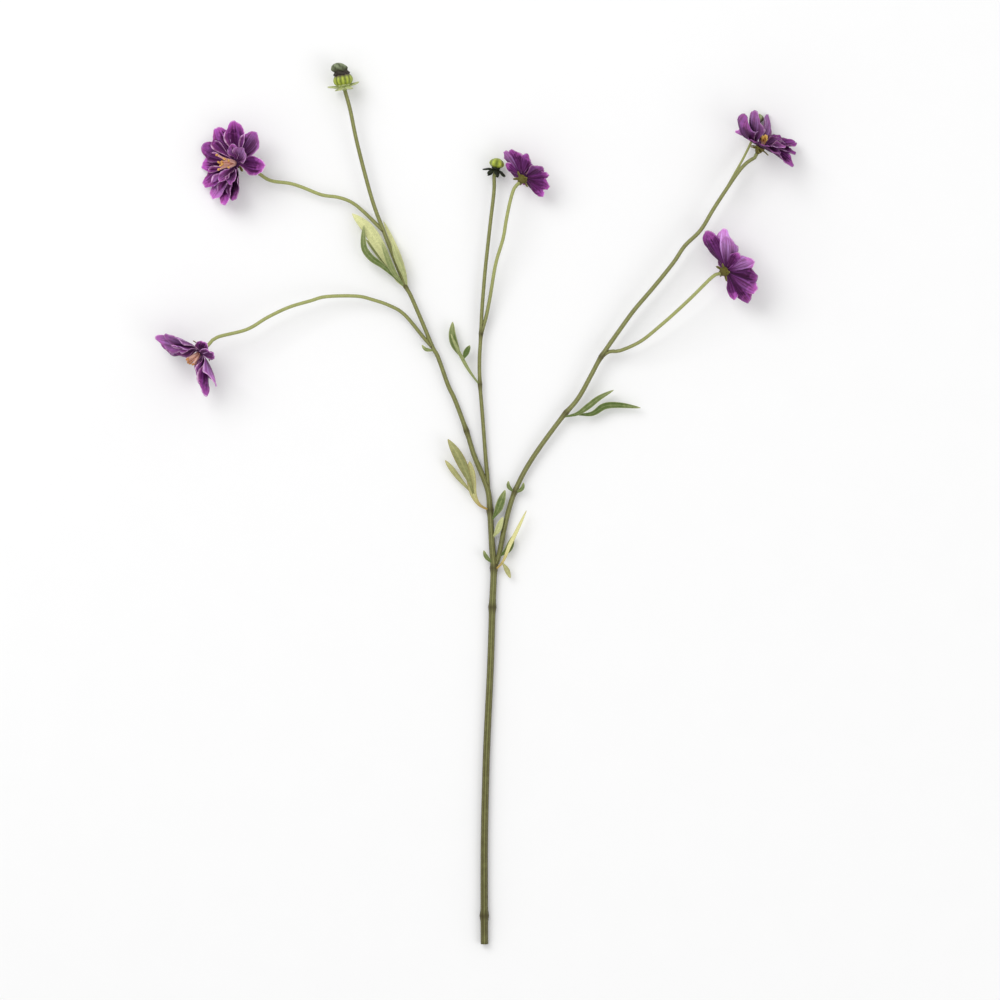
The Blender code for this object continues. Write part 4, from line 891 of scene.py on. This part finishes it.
def wrapped_tube(points, radii, tones, sides, guide, ribs=0, depth=0.0, edges=None, flank=0.0):
    """A closed round tube along points: a grid wrapped round the route, its ends filled. Where flank is above
    0, its tone is painted lighter on the upper side and darker on the flanks, as painted light and shade.
    """
    bm = bmesh.new()
    tone_l, edge_l = layers(bm, "tone", "edge")
    last = len(points) - 1
    bmesh.ops.create_grid(bm, x_segments=last, y_segments=sides, size=1.0)
    for vert in bm.verts:
        index = round((vert.co.x + 1) / 2 * last)
        angle = math.pi * (vert.co.y + 1)
        side, up = cross_frame(points, index, guide)
        ribbing = depth * math.cos(ribs * angle)
        radius = radii[index] * (1 + ribbing)
        vert.co = points[index] + (side * math.cos(angle) + up * math.sin(angle)) * radius
        # painted shade in the grooves and painted light on the ribs, by the ribbing
        vert[tone_l] = tones[index] + GROOVE_PAINTED_SHADE * ribbing + flank * (math.sin(angle) - FLANK_MIDDLE)
        vert[edge_l] = edges[index] if edges else 0.0
    bmesh.ops.remove_doubles(bm, verts=bm.verts, dist=WELD)
    bmesh.ops.holes_fill(bm, edges=[edge for edge in bm.edges if edge.is_boundary])
    return bm


def pollen_head(ripe):
    """A two-lobed head, yellower at its upper end and its sides."""
    bm = bmesh.new()
    [tone_l] = layers(bm, "tone")
    bmesh.ops.create_uvsphere(bm, u_segments=16, v_segments=10, radius=1.0)
    wide, deep, tall = ANTHER_HALF_SIZES
    middle, to_top, to_side = POLLEN_TONES
    for vert in bm.verts:
        x, y, z = vert.co
        vert[tone_l] = middle + ripe + to_top * z + to_side * abs(x)
        vert.co = (x * wide * (1 - ridge(ANTHER_GROOVE, y)), y * deep, z * tall)
    return bm


def bloom_stamens(key, spec):
    """A tuft of fleshy, bent threads with a two-lobed pollen head each, on a small domed disc."""
    draw = random.Random(spec["seed"] + STAMEN_SEED)
    low = CALYX_HEIGHT + RECEPTACLE_HEIGHT + CAD_GAP
    parts = [to_object("disc", turned_solid(DISC, low, *DISC_RIBS))]
    ripe = spec.get("ripe", 0.0)
    shares = [k / STAMEN_STEPS for k in range(STAMEN_STEPS + 1)]
    swell = STAMEN_RADIUS - STAMEN_TIP_RADIUS
    radii = [STAMEN_TIP_RADIUS + swell * math.sin(math.pi * min(1, share + 0.5 - STAMEN_THICKEST))
             for share in shares]
    tones = [THREAD_TONES[0] + ripe + THREAD_TONES[1] * share for share in shares]
    for i in range(STAMENS):
        ring = STAMEN_INNER_SHARE if i % 4 == 0 else 1.0
        turn = 2 * math.pi * i * STAMEN_TURN + draw.uniform(-STAMEN_TURN_SPREAD, STAMEN_TURN_SPREAD)
        lean = math.radians(ring * draw.uniform(*STAMEN_LEANS))
        length = spec["filament"] * draw.uniform(*STAMEN_LENGTHS)
        outward = Vector((math.cos(turn), math.sin(turn), 0))
        root = outward * STAMEN_RING * ring + UP * (low + STAMEN_FOOT)
        way = outward * math.sin(lean) + UP * math.cos(lean)
        bend = Vector((draw.uniform(-1, 1), draw.uniform(-1, 1), 0)) * STAMEN_BEND * length
        points = [root + way * length * share + bend * share ** 2 for share in shares]
        thread = wrapped_tube(points, radii, tones, STAMEN_TUBE_SIDES, STAMEN_GUIDE)
        parts.append(to_object("thread", thread))
        head = pollen_head(ripe)
        aim = (points[-1] - points[-2]).normalized().to_track_quat("Z", "Y").to_matrix().to_4x4()
        spin = Matrix.Rotation(draw.uniform(0, math.pi), 4, "Z")
        tilt = Matrix.Rotation(math.radians(draw.uniform(-ANTHER_TILT, ANTHER_TILT)), 4, "X")
        bmesh.ops.transform(head, verts=head.verts, matrix=Matrix.Translation(points[-1]) @ aim @ spin @ tilt)
        parts.append(to_object("pollen head", head))
    return join("bloom_stamens_" + key, parts)


def leaf_half_width(share, width, peak):
    """Half of the width along a leaf: a thin stalk, the widest place at the peak, a fine tip."""
    if share < peak:
        end, swell = STALK_HALF_WIDTH, ease(share, 0, peak)
    else:
        end, swell = LEAF_TIP_HALF_WIDTH, (1 - ((share - peak) / (1 - peak)) ** 2) ** LEAF_SHOULDER
    return end + (width / 2 - end) * swell


def blade(points, width, peak, fold, cells, tone, draw, dry_stalk=0.0):
    """A narrow pointed leaf: a strip bent along its route, folded at the midrib, waved and thickened.

    The vein and the tip are paler and the stalk darker, and the margin and a dry stalk take the
    edge colour.
    """
    bm = bmesh.new()
    tone_l, edge_l = layers(bm, "tone", "edge")
    count = cells[0]
    route = even_points(smooth_route(points, 1.0), count)
    shares = length_shares(route)
    bmesh.ops.create_grid(bm, x_segments=count, y_segments=cells[1], size=1.0)
    phase = draw.uniform(0, 6.0)
    for vert in bm.verts:
        index = round((vert.co.x + 1) / 2 * count)
        share, across = shares[index], vert.co.y
        side, up = cross_frame(route, index, UP)
        half = leaf_half_width(share, width, peak)
        waved = wave(LEAF_WAVES, share, across, phase) * across ** 2
        rise = half * (fold * abs(across) + waved + ridge(MIDRIB, across))
        vert.co = route[index] + side * (across * half) + up * rise
        paler = LEAF_TIP_PALENESS * ease(share, LEAF_PALES_FROM)
        darker = STALK_DARKNESS * (1 - ease(share, 0, STALK_DARK_UNTIL))
        vert[tone_l] = tone + ridge(VEIN_TONE, across) + paler - darker
        margin = MARGIN_EDGE * ease(abs(across), MARGIN_FROM) + TIP_EDGE * ease(share, TIP_EDGE_FROM)
        vert[edge_l] = margin + dry_stalk * (1 - ease(share, 0, DRY_STALK_UNTIL))
    bmesh.ops.solidify(bm, geom=bm.faces[:], thickness=LEAF_THICKNESS)
    return bm


def opening_at(spec, degrees):
    """How far the outer petals beside an angle round the axis open, at the most."""
    beside = sorted(spec["outer"], key=lambda item: abs((item[0] - degrees + 180) % 360 - 180))[:2]
    return max(item[1] for item in beside)


def bloom_calyx(key, spec):
    """The ribbed green cup under the petals with narrow sepals that follow the petals' backs."""
    draw = random.Random(spec["seed"] + CUP_SEED)
    detail = random.Random(spec["seed"] + SEPAL_SEED)
    parts = [to_object("cup", turned_solid(CUP, 0, *CUP_RIBS))]
    root_height = CALYX_HEIGHT - SEPAL_ROOT_DROP
    for i in range(SEPALS):
        degrees = SEPAL_FIRST_ANGLE + 360 * i / SEPALS + draw.uniform(-ANGLE_SPREAD, ANGLE_SPREAD)
        opening = min(SEPAL_WIDEST_OPENING, opening_at(spec, degrees) + SEPAL_BACKWARD_ANGLE)
        rise = SEPAL_CURVE / math.tan(math.radians(opening))
        reach = SEPAL_LENGTH * spec["sepals"] * draw.uniform(*SEPAL_LENGTHS)
        route = [Vector((SEPAL_ROOT_RADIUS + reach * share, 0,
                         root_height + reach * rise * share ** 2 - SEPAL_SAG * share))
                 for share in (0, 0.4, 0.75, 1)]
        bm = blade(route, SEPAL_WIDTH, *SEPAL_SHAPE, detail)
        turn_round(bm, math.radians(degrees))
        parts.append(to_object("sepal", bm))
    return join("bloom_calyx_" + key, parts)


def bud_ball(key, spec):
    """The ribbed ball of a closed bud; the largest one carries a dark collar and a crumpled, faded cap."""
    bm = bmesh.new()
    tone_l, edge_l = layers(bm, "tone", "edge")
    size, low = spec["radius"], spec["low"]
    plain, on_rib, painted_cup_shade = BUD_TONES
    ball = bmesh.ops.create_uvsphere(bm, u_segments=BUD_CELLS[0], v_segments=BUD_CELLS[1],
                                     radius=1.0)["verts"]
    for vert in ball:
        x, y, height = vert.co
        ribbing = math.cos(spec["ribs"] * math.atan2(y, x)) * (1 - height ** 2)
        grow = size * (1 + BUD_RIB_DEPTH * ribbing) * (1 - BUD_TAPER * max(0, height) ** 2)
        # the ball is painted darker down in its cup: painted shade
        vert[tone_l] = plain + on_rib * ribbing - painted_cup_shade * ease(-height, *BUD_CUP_PAINTED_SHADE)
        vert[edge_l] = ease(height, *COLLAR_SHADE) if spec["top"] else 0.0
        vert.co = (x * grow, y * grow, height * size * (low if height < 0 else spec["high"]))
    bmesh.ops.translate(bm, verts=ball, vec=(0, 0, size * low + BUD_CUP_HEIGHT + CAD_GAP))
    for radius, flatness, centre, dark, lean in spec["top"]:
        lump = bmesh.ops.create_uvsphere(bm, u_segments=CAP_CELLS[0], v_segments=CAP_CELLS[1],
                                         radius=1.0)["verts"]
        for vert in lump:
            x, y, height = vert.co
            around = math.atan2(y, x)
            flank = 1 - height ** 2
            folds = sum(wave(fold, around, height) for fold in CAP_FOLDS)
            grow = radius * (1 + folds * flank)
            dent = CAP_DENTS[0] * math.cos(CAP_DENTS[1] * around) * flank
            # painted light and shade: fold crests paler towards the top, hollows darker
            painted_fold_light = ease(0.5 + CAP_FOLD_CONTRAST * folds) * ease(height, *CAP_PAINTED_LIGHT_RISE)
            vert[tone_l] = CAP_PAINTED_SHADE_AND_LIGHT[0] + CAP_PAINTED_SHADE_AND_LIGHT[1] * painted_fold_light
            vert[edge_l] = dark + (1 - dark) * (1 - ease(height, *CAP_FOOT_SHADE))
            vert.co = (x * grow + lean * height, y * grow, (height - dent) * radius * flatness)
        bmesh.ops.translate(bm, verts=lump, vec=centre)
        for face in {face for vert in lump for face in vert.link_faces}:
            face.material_index = 1
    return to_object("bud_ball_" + key, bm)


def bud_star(key, spec):
    """The cup and the star of sepals under a bud."""
    draw = random.Random(spec["seed"])
    detail = random.Random(spec["seed"] + BUD_SEPAL_SEED)
    raised = spec["raised"]
    flare = spec["radius"] * BUD_FLARE_SHARE + raised * BUD_FLARE_RISE
    rim = [(flare * share, height + raised, tone) for share, height, tone in BUD_FLARE]
    parts = [to_object("cup", turned_solid(BUD_FOOT + rim + [BUD_CUP_TOP], 0, *BUD_CUP_RIBS))]
    root, middle, tip = (height + raised for height in BUD_SEPAL_HEIGHTS)
    for i in range(spec["count"]):
        reach = spec["sepal"] * draw.uniform(*BUD_SEPAL_LENGTHS)
        turn = 2 * math.pi * i / spec["count"] + draw.uniform(-BUD_SEPAL_TURN_SPREAD, BUD_SEPAL_TURN_SPREAD)
        back = math.radians(spec["back"] + spec["droop"] * abs(math.sin(turn))
                            + draw.uniform(-ANGLE_SPREAD, ANGLE_SPREAD))
        bend, turned = BUD_SEPAL_BEND
        route = [Vector((BUD_SEPAL_ROOT_RADIUS + out, 0, height)) for out, height in (
            (0, root), (reach * bend, middle - reach * turned * math.sin(back)),
            (reach * math.cos(back), tip - reach * math.sin(back)))]
        bm = blade(route, spec["sepal_width"], *BUD_SEPAL_SHAPE, detail)
        turn_round(bm, turn)
        parts.append(to_object("sepal", bm))
    return join("bud_star_" + key, parts)


def swelling(point):
    """How much wider the stem is at a point, near its swollen joints."""
    near = min((Vector(spot) - point.xy).length for spot in STEM_JOINTS)
    return 1.0 + ridge((JOINT_SWELLING, JOINT_SPREAD), near)


def branch_points(flat, start_height, base, axis, lead):
    """Raise a route from its parent to a calyx base, arriving along the bloom's axis."""
    end = base - axis * (CAD_GAP + SEAM)
    before = base - axis * lead
    before.z = max(before.z, PEDUNCLE_RADIUS + SURFACE_CLEARANCE)
    shares = length_shares([Vector((x, y, 0)) for x, y in flat] + [Vector((*before.xy, 0))])
    raised = [Vector((x, y, start_height + (before.z - start_height) * ease(share)))
              for (x, y), share in zip(flat, shares)]
    return raised + [before, end]


def main_height_at(x, y):
    spot = min(MAIN_ROUTE, key=lambda point: (point[0] - x) ** 2 + (point[1] - y) ** 2)
    return spot[2]


def stem_line(points, stops, step):
    """The smooth middle line of a stem, and its radius at each point."""
    route = smooth_route(points, step)
    radii = [between(stops, share) * swelling(point) for share, point in zip(length_shares(route), route)]
    return route, radii


def stem_lines(bases, bud_bases, step, thin_step):
    """Every stem, branch and peduncle: its line and its radii, by name."""
    aim = {key: direction(spec["heading"], spec["lift"]) for key, spec in BLOOMS.items()}
    bud_aim = {key: direction(spec["heading"], spec["lift"]) for key, spec in BUDS.items()}
    main_points = [Vector(point) for point in MAIN_ROUTE]
    main_points[-1] = bud_bases["left"] - bud_aim["left"] * (CAD_GAP + SEAM)
    middle = branch_points(MIDDLE_ROUTE[:-1], main_height_at(*MIDDLE_ROUTE[0]), bud_bases["centre"],
                           bud_aim["centre"], BRANCH_LEAD)
    right = branch_points(RIGHT_ROUTE, main_height_at(*RIGHT_ROUTE[0]), bases["upper_right"],
                          aim["upper_right"], BRANCH_LEAD)
    lines = {
        "main": stem_line(main_points, MAIN_RADII, step), "middle": stem_line(middle, MIDDLE_RADII, step),
        "right": stem_line(right, RIGHT_RADII, step),
    }
    for key, (flat, parent, lead) in PEDUNCLES.items():
        start = nearest(lines[parent], flat[0])[0]
        points = branch_points(flat, start.z, bases[key], aim[key], lead)
        lines["peduncle " + key] = stem_line(points, PEDUNCLE_RADII, thin_step)
    start = nearest(lines["right"], RIGHT_BUD_ROUTE[0])[0]
    points = branch_points(RIGHT_BUD_ROUTE[:-1], start.z, bud_bases["right"], bud_aim["right"], BRANCH_LEAD)
    lines["right bud stem"] = stem_line(points, BUD_STEM_RADII, step)
    return lines


def root_beside(line, spot):
    """Where a leaf leaves its stem: on the upper flank beside the spot, and its start inside the bark."""
    point, run, radius = nearest(line, spot)
    normal = Vector((-run.y, run.x))
    if (Vector(spot[:2]) - point.xy).dot(normal) < 0:
        normal = -normal
    flank = Vector((*(normal * math.cos(math.radians(ROOT_ANGLE))), math.sin(math.radians(ROOT_ANGLE))))
    return point + flank * (radius + CAD_GAP + STALK_HALF_WIDTH + SEAM), point + flank * radius * ROOT_DEPTH


def fuse_stems(parts):
    """Join the stem's branches into one closed skin with a single union on a collection."""
    body, others = parts[0], parts[1:]
    group = bpy.data.collections.new("branches")
    bpy.context.scene.collection.children.link(group)
    for other in others:
        bpy.context.scene.collection.objects.unlink(other)
        group.objects.link(other)
    union = body.modifiers.new("union", "BOOLEAN")
    union.operation = "UNION"
    union.operand_type = "COLLECTION"
    union.collection = group
    union.solver = "MANIFOLD"
    bpy.context.view_layer.update()
    graph = bpy.context.evaluated_depsgraph_get()
    mesh = bpy.data.meshes.new_from_object(body.evaluated_get(graph))
    for part in parts:
        bpy.data.objects.remove(part, do_unlink=True)
    bpy.data.collections.remove(group)
    # the union leaves an empty material slot behind
    mesh.materials.clear()
    made = bpy.data.objects.new("stem_skin", mesh)
    bpy.context.scene.collection.objects.link(made)
    return made


class PetalSettings(bpy.types.PropertyGroup):
    """Sizes and colours of the petals and stamens"""

    thickness: bpy.props.FloatProperty(
        name="Petal thickness", description="Thickness of a petal", default=0.00038, min=0.0001, max=0.002,
        precision=5, unit="LENGTH")
    ripple: bpy.props.FloatProperty(
        name="Edge ripple", description="Height of the waves in a petal", default=0.00045, min=0.0, max=0.003,
        precision=5, unit="LENGTH")
    throat: bpy.props.FloatVectorProperty(
        name="Throat", description="Colour at a petal's root", default=rgb("#1d0720"), **COLOUR)
    body: bpy.props.FloatVectorProperty(
        name="Body", description="Colour of most of a petal", default=rgb("#400f41"), **COLOUR)
    tip: bpy.props.FloatVectorProperty(
        name="Tip", description="Colour towards a petal's tip and in its pleats", default=rgb("#b558b1"),
        **COLOUR)
    rim: bpy.props.FloatVectorProperty(
        name="Rim", description="Colour of the thin pale rim", default=rgb("#f1c6ee"), **COLOUR)
    back: bpy.props.FloatVectorProperty(
        name="Back", description="Colour of a petal's outer face", default=rgb("#6d2468"), **COLOUR)
    pale: bpy.props.FloatVectorProperty(
        name="Pale petals", description="Colour of the palest petals", default=rgb("#e9a9f2"), **COLOUR)
    thread: bpy.props.FloatVectorProperty(
        name="Stamen thread", description="Colour of the stamens' threads", default=rgb("#e3b3a0"), **COLOUR)
    pollen: bpy.props.FloatVectorProperty(
        name="Pollen", description="Colour of the pollen heads", default=rgb("#efc262"), **COLOUR)


class GreenSettings(bpy.types.PropertyGroup):
    """Colours of the stem, leaves, cups and buds"""

    stem_low: bpy.props.FloatVectorProperty(
        name="Stem, low", description="Colour of the stem at the cut end", default=rgb("#48411d"), **COLOUR)
    stem_high: bpy.props.FloatVectorProperty(
        name="Stem, high", description="Colour of the thin flower stalks", default=rgb("#a8ad6c"), **COLOUR)
    leaf: bpy.props.FloatVectorProperty(
        name="Leaf", description="Colour of the green leaves", default=rgb("#54682f"), **COLOUR)
    pale_leaf: bpy.props.FloatVectorProperty(
        name="Pale leaf", description="Colour of the pale leaves", default=rgb("#dcdda0"), **COLOUR)
    cup: bpy.props.FloatVectorProperty(
        name="Cup", description="Colour of the cups under the blooms", default=rgb("#7d7531"), **COLOUR)
    bud: bpy.props.FloatVectorProperty(
        name="Bud", description="Colour of the buds", default=rgb("#b4c246"), **COLOUR)


class StageSettings(bpy.types.PropertyGroup):
    """Floor, light and camera"""

    floor: bpy.props.FloatVectorProperty(
        name="Floor", description="Colour of the pale floor", default=rgb("#f4f4f4"), **COLOUR)
    camera_height: bpy.props.FloatProperty(
        name="Camera height", description="Height of the camera above the surface", default=3.0, min=0.5,
        max=10.0, unit="LENGTH")
    key_power: bpy.props.FloatProperty(
        name="Key light", description="Power of the large soft light", default=26.0, min=0.0, max=500.0,
        unit="POWER")
    fill_power: bpy.props.FloatProperty(
        name="Fill light", description="Power of the opposite soft light", default=9.0, min=0.0, max=500.0,
        unit="POWER")


class FLOWER_OT_blooms(bpy.types.Operator):
    """Build the petals, stamens and green cup of every bloom"""

    bl_idname = "flower.blooms"
    bl_label = "Blooms"

    def execute(self, context):
        petal_settings, greens = context.scene.flower_petals, context.scene.flower_greens
        petal_look = petal_material(petal_settings)
        stamen_look = stamen_material(petal_settings)
        # a calyx has a thin waxy skin, so it is smoother than the leaves
        cup_look = green_material(
            "calyx skin, olive", rgb("#453d17"), greens.cup, rgb("#a39a52"), 0.5, 1.6, 0.4)
        bases = {}
        for key, spec in BLOOMS.items():
            turn = facing(spec["heading"], spec["lift"])
            petals = bloom_petals(key, spec, petal_settings)
            height = -min((turn @ vert.co).z for vert in petals.data.vertices) / MM
            bases[key] = Vector((*spec["base"], height + BLOOM_CLEARANCE))
            stamens = bloom_stamens(key, spec)
            calyx = bloom_calyx(key, spec)
            for made in (petals, stamens, calyx):
                place_at(made, bases[key], turn)
            finish_piece(petals, [petal_look], "petals", "petals_" + key)
            finish_piece(stamens, [stamen_look], "stamens", "stamens_" + key)
            finish_piece(calyx, [cup_look], "calyx", "calyx_" + key)
        made_up["bases"] = bases
        return {"FINISHED"}


class FLOWER_OT_buds(bpy.types.Operator):
    """Build the closed buds and their stars of sepals"""

    bl_idname = "flower.buds"
    bl_label = "Buds"

    def execute(self, context):
        greens = context.scene.flower_greens
        # a bud's outer petals are still green and taut, with a slight gloss
        ball_look = green_material(
            "bud skin, yellow-green", rgb("#4f5c17"), greens.bud, rgb("#45303a"), 0.36, 1.4, 0.35, coat=0.3)
        # sepals are leafy and dull, dark on two buds and light on the left one
        dark_look = green_material(
            "sepal skin, dark green", rgb("#0d0f0a"), rgb("#252c17"), rgb("#333d20"), 0.55, 1.2, 0.4)
        light_look = green_material(
            "sepal skin, light green", rgb("#7f9040"), rgb("#c9cf95"), rgb("#dcdcb6"), 0.55, 1.2, 0.4)
        # the cap on the left bud has wilted, so it is grey and has lost its gloss
        faded_look = green_material(
            "bud skin, grey-green", rgb("#3d4229"), rgb("#8f9a78"), rgb("#2e1f22"), 0.55, 1.4, 0.35)
        # the smallest bud is still soft and pale
        young_look = green_material(
            "bud skin, pale green", rgb("#66723f"), rgb("#a9b487"), rgb("#66723f"), 0.5, 1.4, 0.35)
        places = {
            "left": Vector(MAIN_ROUTE[-1]), "centre": Vector((*MIDDLE_ROUTE[-1], BUD_HEIGHTS["centre"])),
            "right": Vector((*RIGHT_BUD_ROUTE[-1], BUD_HEIGHTS["right"])),
        }
        for key, spec in BUDS.items():
            turn = facing(spec["heading"], spec["lift"])
            ball, star = bud_ball(key, spec), bud_star(key, spec)
            for made in (ball, star):
                place_at(made, places[key], turn)
            ball_looks = [young_look] if key == "right" else [ball_look, faded_look]
            star_look = light_look if key == "left" else dark_look
            finish_piece(ball, ball_looks, "bud", "bud_" + key)
            finish_piece(star, [star_look], "bud_sepals", "sepals_bud_" + key)
        made_up["bud bases"] = places
        return {"FINISHED"}


class FLOWER_OT_stem(bpy.types.Operator):
    """Build the branching stem"""

    bl_idname = "flower.stem"
    bl_label = "Stem"

    def execute(self, context):
        greens = context.scene.flower_greens
        # a woody-green stalk: fibrous, ribbed lengthwise, dull with a little wax
        look = green_material(
            "stem skin, ribbed", greens.stem_low, greens.stem_high, rgb("#3d3416"), 0.48, 3.0, 0.5, coat=0.12)
        lines = stem_lines(made_up["bases"], made_up["bud bases"], STEM_STEP, STEM_STEP)
        parts = []
        for name, (route, radii) in lines.items():
            paler = 0.0 if name in ("main", "middle", "right") else PEDUNCLE_PALENESS
            tones = [STEM_LOWEST_TONE + STEM_TONE_RISE * ease((point.y - MAIN_ROUTE[0][1]) / STEM_TONE_SPAN)
                     + paler * ease(share, 0, 0.5) for share, point in zip(length_shares(route), route)]
            knots = [KNOT_BROWN * (swelling(point) - 1) / JOINT_SWELLING for point in route]
            end = route[-1] + (route[-1] - route[-2]).normalized() * STEM_END_INTO_CUP
            # the tones carry painted shade: darker grooves and flanks, and a paler upper side
            bm = wrapped_tube(route + [end], radii + [radii[-1] * STEM_END_TAPER], tones + tones[-1:],
                              STEM_SIDES, UP, STEM_RIBS, STEM_RIB_DEPTH, knots + knots[-1:], FLANK_PAINTED_SHADE)
            parts.append(to_object(name, bm))
        made = fuse_stems(parts)
        place_at(made)
        finish_piece(made, [look], "stem", "stem")
        return {"FINISHED"}


class FLOWER_OT_leaves(bpy.types.Operator):
    """Build the leaves and leafy sprigs along the stem"""

    bl_idname = "flower.leaves"
    bl_label = "Leaves"

    def execute(self, context):
        greens = context.scene.flower_greens
        # leaf skin: waxy but fine-grained, so softly shining; the margin is paler
        look = green_material("leaf skin", greens.leaf, greens.pale_leaf, rgb("#e4e2ae"), 0.52, 1.8, 0.45)
        # leaves that have begun to dry: olive-brown, with a straw-coloured margin
        dry_look = green_material(
            "leaf skin, drying", rgb("#5b6232"), rgb("#dcd898"), rgb("#a88338"), 0.6, 1.8, 0.45)
        lines = stem_lines(made_up["bases"], made_up["bud bases"], CAD_ROUTE_STEP, CAD_PEDUNCLE_STEP)
        detail = random.Random(LEAF_SEED)
        for name, spec in LEAVES.items():
            first = spec["blades"][0][2][0]
            root, bark = root_beside(lines[spec["on"]], first)
            raised = Vector((0, 0, root.z - first[2]))
            parts = []
            for i, ((width, peak, points), tone) in enumerate(zip(spec["blades"], spec["tones"])):
                points = [Vector(point) + raised for point in points]
                if i == 0 or points[0].xy == Vector(first[:2]):
                    points[0] = bark
                dry_stalk = DRY_STALK if name in DRY_SPRIGS and i == 0 else 0.0
                bm = blade(points, width, peak, LEAF_FOLD, LEAF_CELLS, tone, detail, dry_stalk)
                parts.append(to_object(name, bm))
            made = join("leaves_" + name, parts)
            place_at(made)
            finish_piece(made, [dry_look if name in DRY_SPRIGS else look], spec["slot"], name)
        return {"FINISHED"}


class FLOWER_OT_stage(bpy.types.Operator):
    """Lay the pale floor and set the soft light and the camera above"""

    bl_idname = "flower.stage"
    bl_label = "Stage"

    def execute(self, context):
        settings = context.scene.flower_stage
        # matt painted board: even, nearly white, with a trace of grain
        floor_look, tree, shader = start_material("painted board, matt", roughness=0.9)
        position = add_node(tree, "ShaderNodeTexCoord").outputs["Object"]
        grain = add_node(tree, "ShaderNodeTexNoise", values={"Scale": 1 / (FLOOR_GRAIN * MM), "Detail": 3.0},
                         links={"Vector": position}).outputs["Fac"]
        low = tuple(channel * FLOOR_SHADE for channel in settings.floor)
        mixed = add_node(tree, "ShaderNodeMixRGB", links={"Fac": grain},
                         values={"Color1": (*low, 1.0), "Color2": (*settings.floor, 1.0)})
        tree.links.new(mixed.outputs["Color"], shader.inputs["Base Color"])
        bm = bmesh.new()
        bmesh.ops.create_grid(bm, x_segments=1, y_segments=1, size=FLOOR_HALF_SIZE)
        mesh = bpy.data.meshes.new("studio_floor")
        bm.to_mesh(mesh)
        bm.free()
        mesh.materials.append(floor_look)
        floor = bpy.data.objects.new("studio_floor", mesh)
        context.scene.collection.objects.link(floor)

        world = bpy.data.worlds.new("studio light")
        world.use_nodes = True
        background = world.node_tree.nodes["Background"]
        background.inputs["Color"].default_value = (1.0, 1.0, 1.0, 1.0)
        background.inputs["Strength"].default_value = WORLD_STRENGTH
        context.scene.world = world
        for name, power, (size, spot) in (
                ("key light", settings.key_power, KEY_LAMP), ("fill light", settings.fill_power, FILL_LAMP)):
            lamp = bpy.data.lights.new(name, "AREA")
            lamp.energy = power
            lamp.size = size
            light = bpy.data.objects.new(name, lamp)
            light.location = spot
            light.rotation_euler = (-Vector(spot)).to_track_quat("-Z", "Y").to_euler()
            context.scene.collection.objects.link(light)

        lens = bpy.data.cameras.new("camera")
        camera = bpy.data.objects.new("camera", lens)
        camera.location = (VIEW_MIDDLE[0] * MM, VIEW_MIDDLE[1] * MM, settings.camera_height)
        lens.lens = lens.sensor_width * settings.camera_height / (IMAGE * PIXEL * MM)
        context.scene.collection.objects.link(camera)
        context.scene.camera = camera
        context.scene.view_settings.view_transform = "Standard"
        return {"FINISHED"}


class FLOWER_PT_panel(bpy.types.Panel):
    """The flower stem's pieces, in the sidebar"""

    bl_idname = "FLOWER_PT_panel"
    bl_label = "Cut flower stem"
    bl_space_type = "VIEW_3D"
    bl_region_type = "UI"
    bl_category = "Flower"

    def draw(self, context):
        scene = context.scene
        for group in (scene.flower_petals, scene.flower_greens, scene.flower_stage):
            for name in group.__annotations__:
                self.layout.prop(group, name)
        for operator in OPERATORS:
            self.layout.operator(operator.bl_idname)


OPERATORS = (FLOWER_OT_blooms, FLOWER_OT_buds, FLOWER_OT_stem, FLOWER_OT_leaves, FLOWER_OT_stage)
CLASSES = (PetalSettings, GreenSettings, StageSettings) + OPERATORS + (FLOWER_PT_panel,)


def register():
    for cls in CLASSES:
        bpy.utils.register_class(cls)
    bpy.types.Scene.flower_petals = bpy.props.PointerProperty(type=PetalSettings)
    bpy.types.Scene.flower_greens = bpy.props.PointerProperty(type=GreenSettings)
    bpy.types.Scene.flower_stage = bpy.props.PointerProperty(type=StageSettings)


def unregister():
    del bpy.types.Scene.flower_stage
    del bpy.types.Scene.flower_greens
    del bpy.types.Scene.flower_petals
    for cls in reversed(CLASSES):
        bpy.utils.unregister_class(cls)


def main():
    register()
    bpy.ops.flower.blooms()
    bpy.ops.flower.buds()
    bpy.ops.flower.stem()
    bpy.ops.flower.leaves()
    bpy.ops.flower.stage()


if __name__ == "__main__":
    main()
